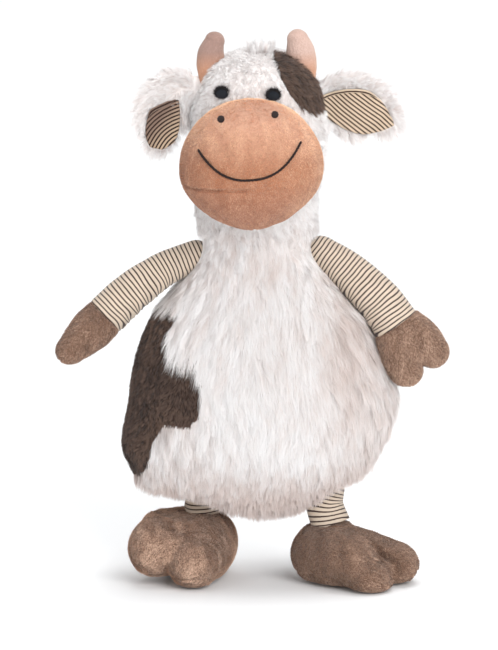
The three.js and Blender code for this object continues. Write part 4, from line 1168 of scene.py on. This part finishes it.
def jersey_tube(P, centre, seam, depth=0.55, pitch=4.6, slant=0.0):
    """Puckers a tube along its seam and gives its stripe coordinates"""
    run = run_of(centre)
    out = unit(P - centre[:, None])
    towards = np.clip(out @ seam, 0, 1) ** 5
    wavy = np.abs(np.sin(run * math.pi / pitch + 0.6 * np.sin(run * 0.9)))[:, None]
    P = P - out * (towards * depth * (1.4 - wavy * 1.4))[..., None]
    P = P + out * (0.22 * field(P, 15, 81) + 0.06 * field(P, 5, 82))[..., None]
    a = np.arange(P.shape[1] + 1) / P.shape[1] * TURN
    u = a[None] * np.linalg.norm(P - centre[:, None], axis=2).mean(1)[:, None]
    towards, flat = (np.concatenate([part, part[:, :1]], 1) for part in (towards, P))
    v = run[:, None] + towards * (1.9 * np.sin(run * TURN / 9.5 + 0.7) - 2.0)[:, None]
    v = v + slant * flat[..., 0] + 0.25 * field(flat, 13, 83)
    return P, np.stack([u, v], -1)


def sleeve(side, sign):
    sizes = [[r, r] for r in ARM_SWELL[side]]
    P, centre = limb(arm_line[side], sizes, ACROSS, 130, 60, True, False, 8)
    squeeze = np.interp(np.arange(len(P)), [0, len(P) - 5, len(P) - 1], [1, 1, 0.955])
    P = centre[:, None] + (P - centre[:, None]) * squeeze[:, None, None]
    P, uv = jersey_tube(P, centre, unit(np.array([-sign * 0.75, -0.15, -0.65])))
    nodes = (f"arm_sleeve_{side}", f"arm_filling_{side}")
    keep(grid(f"arm_{side}_sleeve", P, JERSEY, uv=uv), f"arm_{side}", nodes)


def hand(side):
    """Two lobes and a wrist melted into one cloven hand"""
    shape, line, r = HANDS[side], arm_line[side], ARM_SWELL[side][-1]
    wrist = line[-1]
    along = unit(curve(line, 1.0) - curve(line, 0.99))
    spread = np.array(shape["spread"], float)
    across = unit(spread - along * (spread @ along))
    third = np.cross(along, across)
    wide, length = r * shape["wide"], shape["length"]
    root, swing = wrist + along * 5, across * shape["shift"]
    stations = [(0, 0.3, 0.92, 1), (length * 0.3, 0.42, 1.04, 0.98), (length - wide, 0.5, 0.9, 0.72)]
    sizes = [[wide * w, HAND_DEPTH * k] for _, _, w, k in stations]
    lobes = []
    for s in (-1, 1):
        spine = [root + along * f + across * s * apart * shape["gap"] + swing * min(1, f / 20)
                 for f, apart, _, _ in stations]
        lobes.append(limb(spine, sizes, across, 26, 40)[0])
    sizes = [[wide * 1.15, HAND_DEPTH], [wide * 1.1, HAND_DEPTH * 0.95]]
    lobes.append(limb([root, root + along * 12], sizes, across, 20, 40)[0])

    def shaped(p, n):
        q = p - wrist
        ahead = q @ along
        radial = q - ahead[:, None] * along
        limit = np.interp(ahead, [-30, -1.2, 0.6, 4.0], [r - 1.6, r - 1.6, r + 0.35, 99])
        p = wrist + ahead[:, None] * along + shortened(radial, limit)
        p = grooved(p, n, q @ third, 1.1, 0.5 * (ahead > 3))
        return p + n * (0.25 * field(p, 14, 91))[:, None]

    made = fused(f"hand_{side}_hoof", lobes, TAUPE, 0.85, 10, shaped)
    keep(made, f"arm_{side}", (f"hand_hoof_{side}", f"hand_filling_{side}"))
    nap(made, along + [0, 0, -0.4], f"arm_{side}", shape["light"])


for side, sign in SIDES.items():
    sleeve(side, sign)
    hand(side)

# Legs and feet
# Turn is the way that the toes point, and step how far the foot stands from the hip. A toe is its side, length,
# share of height at the tip, share of height and lift. Light is the tone of the pile: painted light on the foot
# on the viewer's left, painted shade on the other
FEET = {
    "right": dict(turn=24, step=(0, 2, 0), cuff=45.0, knee=0, slant=0.10, wide=18.6, rise=22.0, gap=28,
                  shift=(-4.5, 0, 2.0), toes=[(-1, 38, 0.8, 1.0, 0.0), (1, 38, 0.8, 1.12, 6.0)],
                  cleft=35, drop=-2.5, cleft_end=(17, 15.5), instep=20, instep_rise=5.5, instep_wide=23,
                  crease=0.9, crease_aside=0.0, light=1.1),
    "left": dict(turn=62, step=(2.5, -4, 0), cuff=40.5, knee=3.0, slant=-0.22, wide=20.0, rise=20.0, gap=27,
                 shift=(0, 0, 0), toes=[(-1, 38.5, 0.84, 0.86, 0.0), (1, 34, 0.6, 1.0, 0.0)],
                 cleft=14, drop=2.6, cleft_end=(15, 17.2), instep=9, instep_rise=-3.0, instep_wide=20,
                 crease=5.6, crease_aside=1.0, light=0.34),
}
FOOT_MIDDLE = 19.5
SOLE_SEAM = 8.5


def cuff(side, sign):
    shape, hip = FEET[side], leg_pivot[side]
    ankle = np.array([hip[0], hip[1], shape["cuff"]]) + shape["step"]
    knee = (hip + ankle) / 2 - [shape["knee"], 0, 0]
    line = [hip - [sign * 2, 0, 0], knee, ankle - [0, 0, 1.5]]
    P, centre = limb(line, [[LEG_SWELL] * 2, [12.8] * 2, [13.2] * 2], ACROSS, 40, 60, True, False, 8)
    P, uv = jersey_tube(P, centre, unit(np.array([sign * 0.3, 0.95, 0.0])), 0.4, 4.2, shape["slant"])
    nodes = (f"leg_sleeve_{side}", f"leg_filling_{side}")
    keep(grid(f"leg_{side}_cuff", P, JERSEY, uv=uv), f"leg_{side}", nodes)


def foot_lobes(shape, foot, root, along, across):
    """Two toes, the cleft between them, the ankle and the instep"""
    lobes, rise = [], shape["rise"]
    for s, end, tip, high, lift in shape["toes"]:
        stations = [(-4, 0.3, 0.92, 1, 0), (17.4, 0.42, 1.06, high, 0.4), (end, 0.5, 0.94, tip * high, 1)]
        beside = across * s
        spine = [root + along * f + beside * apart * shape["gap"] - [0, 0, rise * (1 - k)] + [0, 0, lift * up]
                 for f, apart, _, k, up in stations]
        sizes = [[shape["wide"] * w, rise * k] for _, _, w, k, _ in stations]
        lobes.append(limb(spine, sizes, across, 30, 48)[0])
    cleft = shape["cleft"]
    spine = [root + along * f - [0, 0, d] for f, d in ((-6, 0), (cleft * 0.4, 0), (cleft, shape["drop"]))]
    lobes.append(limb(spine, [[17, 20.6], [20, 21], shape["cleft_end"]], across, 30, 48)[0])
    spine = [foot + [0, 0, z - foot[2]] for z in (14, 30, shape["cuff"] - 0.5)]
    lobes.append(limb(spine, [[18.5] * 2, [16.6] * 2, [13.2] * 2], ACROSS, 20, 48, False, False)[0])
    top, wide = shape["instep_rise"], shape["instep_wide"]
    spine = [root + along * 2 + [0, 0, 2 + top], root + along * shape["instep"] + [0, 0, 1.5 + top]]
    lobes.append(limb(spine, [[wide, 21], [wide, 19.5]], across, 24, 48)[0])
    return lobes


def foot(side, sign):
    """A cloven foot with a flat sole, a seam round it and a crease over its split"""
    shape = FEET[side]
    turn = math.radians(shape["turn"])
    along = np.array([sign * math.sin(turn), -math.cos(turn), 0])
    across = np.cross(along, [0, 0, 1.0])
    place = leg_pivot[side] + shape["step"]
    root = np.array([place[0], place[1], FOOT_MIDDLE]) + shape["shift"]

    def shaped(p, n):
        q = p - place
        ahead, aside = q @ along, q @ across - shape["crease_aside"]
        crease = shape["crease"] * hill(aside, 0, 2.3) * fade(ahead, 12, 24) * fade(p[:, 2], 5, 13)
        p = p - n * crease[:, None]
        low = p[:, 2].copy()
        p[:, 2] = np.where(low < 1.5, 0.02 + np.maximum(low + 1.2, 0) * 0.55, low)
        p = grooved(p, n, p[:, 2] - SOLE_SEAM, 1.4, 0.8)
        limit = np.where(p[:, 2] > shape["cuff"] - 0.8, 12.4, 99)
        p[:, :2] = place[:2] + shortened(p[:, :2] - place[:2], limit)
        lump = n * (0.22 * field(p, 22, 95))[:, None]
        lump[:, 2] *= p[:, 2] > 3
        return p + lump

    made = fused(f"foot_{side}_hoof", foot_lobes(shape, place, root, along, across), TAUPE, 0.95, 14, shaped)
    keep(made, f"leg_{side}", (f"foot_hoof_{side}", f"foot_filling_{side}"))
    nap(made, along + [0, 0, -0.5], f"leg_{side}", shape["light"])


for side, sign in SIDES.items():
    cuff(side, sign)
    foot(side, sign)


# Pile of the muzzle
def off_stitches(p):
    """Places beside the smile and the nostrils"""
    near = np.full(len(p), 99.0)
    for q in curve(smile_line, np.linspace(0, 1, 100)):
        near = np.minimum(near, np.linalg.norm(p - q, axis=1))
    for place in NOSTRILS.values():
        near = np.minimum(near, np.linalg.norm(p - on_muzzle(*place), axis=1) - 1.6)
    return near > 1.1


def muzzle_painted_light(p):
    """Painted light and shade: paler towards the top and on one side, darker low down and on the other"""
    height = np.interp(p[:, 2], [262, 290, 303, 328], [0.16, 0.32, 0.42, 0.98])
    return height - 0.02 * fade(p[:, 0], -18, -50) + 0.24 * fade(p[:, 0], 14, 34)


nap(muzzle_skin, DOWN, "head", muzzle_painted_light, 3.6, 1.0, PEACH_NAP, "peach_velour", 0.12, off_stitches)

# Stage, light and camera, in metres
FLOOR_SIDES, FLOOR_RADIUS = 96, 30
DISTANCE, VIEW_WIDE, SENSOR = 9.0, 0.4355, 36
TILT = math.radians(12)
TARGET = Vector((SHIFT[0] - 6.7, 0.0, 173.9 + 0.2127 * SHIFT[1])) * MM
SKY_FADE = (0.04, 0.22, 0.97, 0.5)
LAMPS = [("key", (1.0, -2.2, 1.35), 1.6, 56), ("fill", (-1.7, -1.5, 0.7), 1.6, 7),
         ("top", (0.1, 0.3, 2.2), 0, 1.75)]
scene = bpy.context.scene

paper = Look("floor_paper", 0.9, 0.0, 0.1)
paper.shader.inputs["Base Color"].default_value = (0.93, 0.935, 0.94, 1)
floor_mesh = bpy.data.meshes.new("floor")
corners = [(FLOOR_RADIUS * math.cos(a), FLOOR_RADIUS * math.sin(a), 0) for a in ring_angles(FLOOR_SIDES, 0)]
floor_mesh.from_pydata(corners, [], [tuple(range(FLOOR_SIDES))])
add_object("floor", floor_mesh, paper.material)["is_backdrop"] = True

world = bpy.data.worlds.new("studio")
world.use_nodes = True
tree = world.node_tree
sky = tree.nodes["Background"]
sky.inputs[0].default_value = (0.97, 0.985, 1.0, 1)
where, height, dim = (tree.nodes.new(f"ShaderNode{kind}") for kind in ("TexCoord", "SeparateXYZ", "MapRange"))
tree.links.new(where.outputs["Generated"], height.inputs[0])
tree.links.new(height.outputs["Z"], dim.inputs[0])
for k, value in enumerate(SKY_FADE, 1):
    dim.inputs[k].default_value = value
tree.links.new(dim.outputs[0], sky.inputs[1])
scene.world = world

for name, place, size, power in LAMPS:
    light = bpy.data.lights.new(name, "AREA" if size else "SUN")
    if size:
        light.shape, light.size = "SQUARE", size
    else:
        light.angle = math.radians(40)
    light.energy = power
    lamp = bpy.data.objects.new(name, light)
    lamp.location = place
    lamp.rotation_euler = (TARGET - Vector(place)).to_track_quat("-Z", "Y").to_euler()
    scene.collection.objects.link(lamp)

lens = bpy.data.cameras.new("camera")
lens.sensor_width = SENSOR
lens.lens = SENSOR * DISTANCE / VIEW_WIDE
camera = bpy.data.objects.new("camera", lens)
camera.location = TARGET + Vector((0, -math.cos(TILT), math.sin(TILT))) * DISTANCE
camera.rotation_euler = (TARGET - camera.location).to_track_quat("-Z", "Y").to_euler()
scene.collection.objects.link(camera)
scene.camera = camera
scene.view_settings.view_transform = "Standard"

sizes = [[[float(v) for v in corner] for corner in box] for box in (LOADED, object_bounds())]
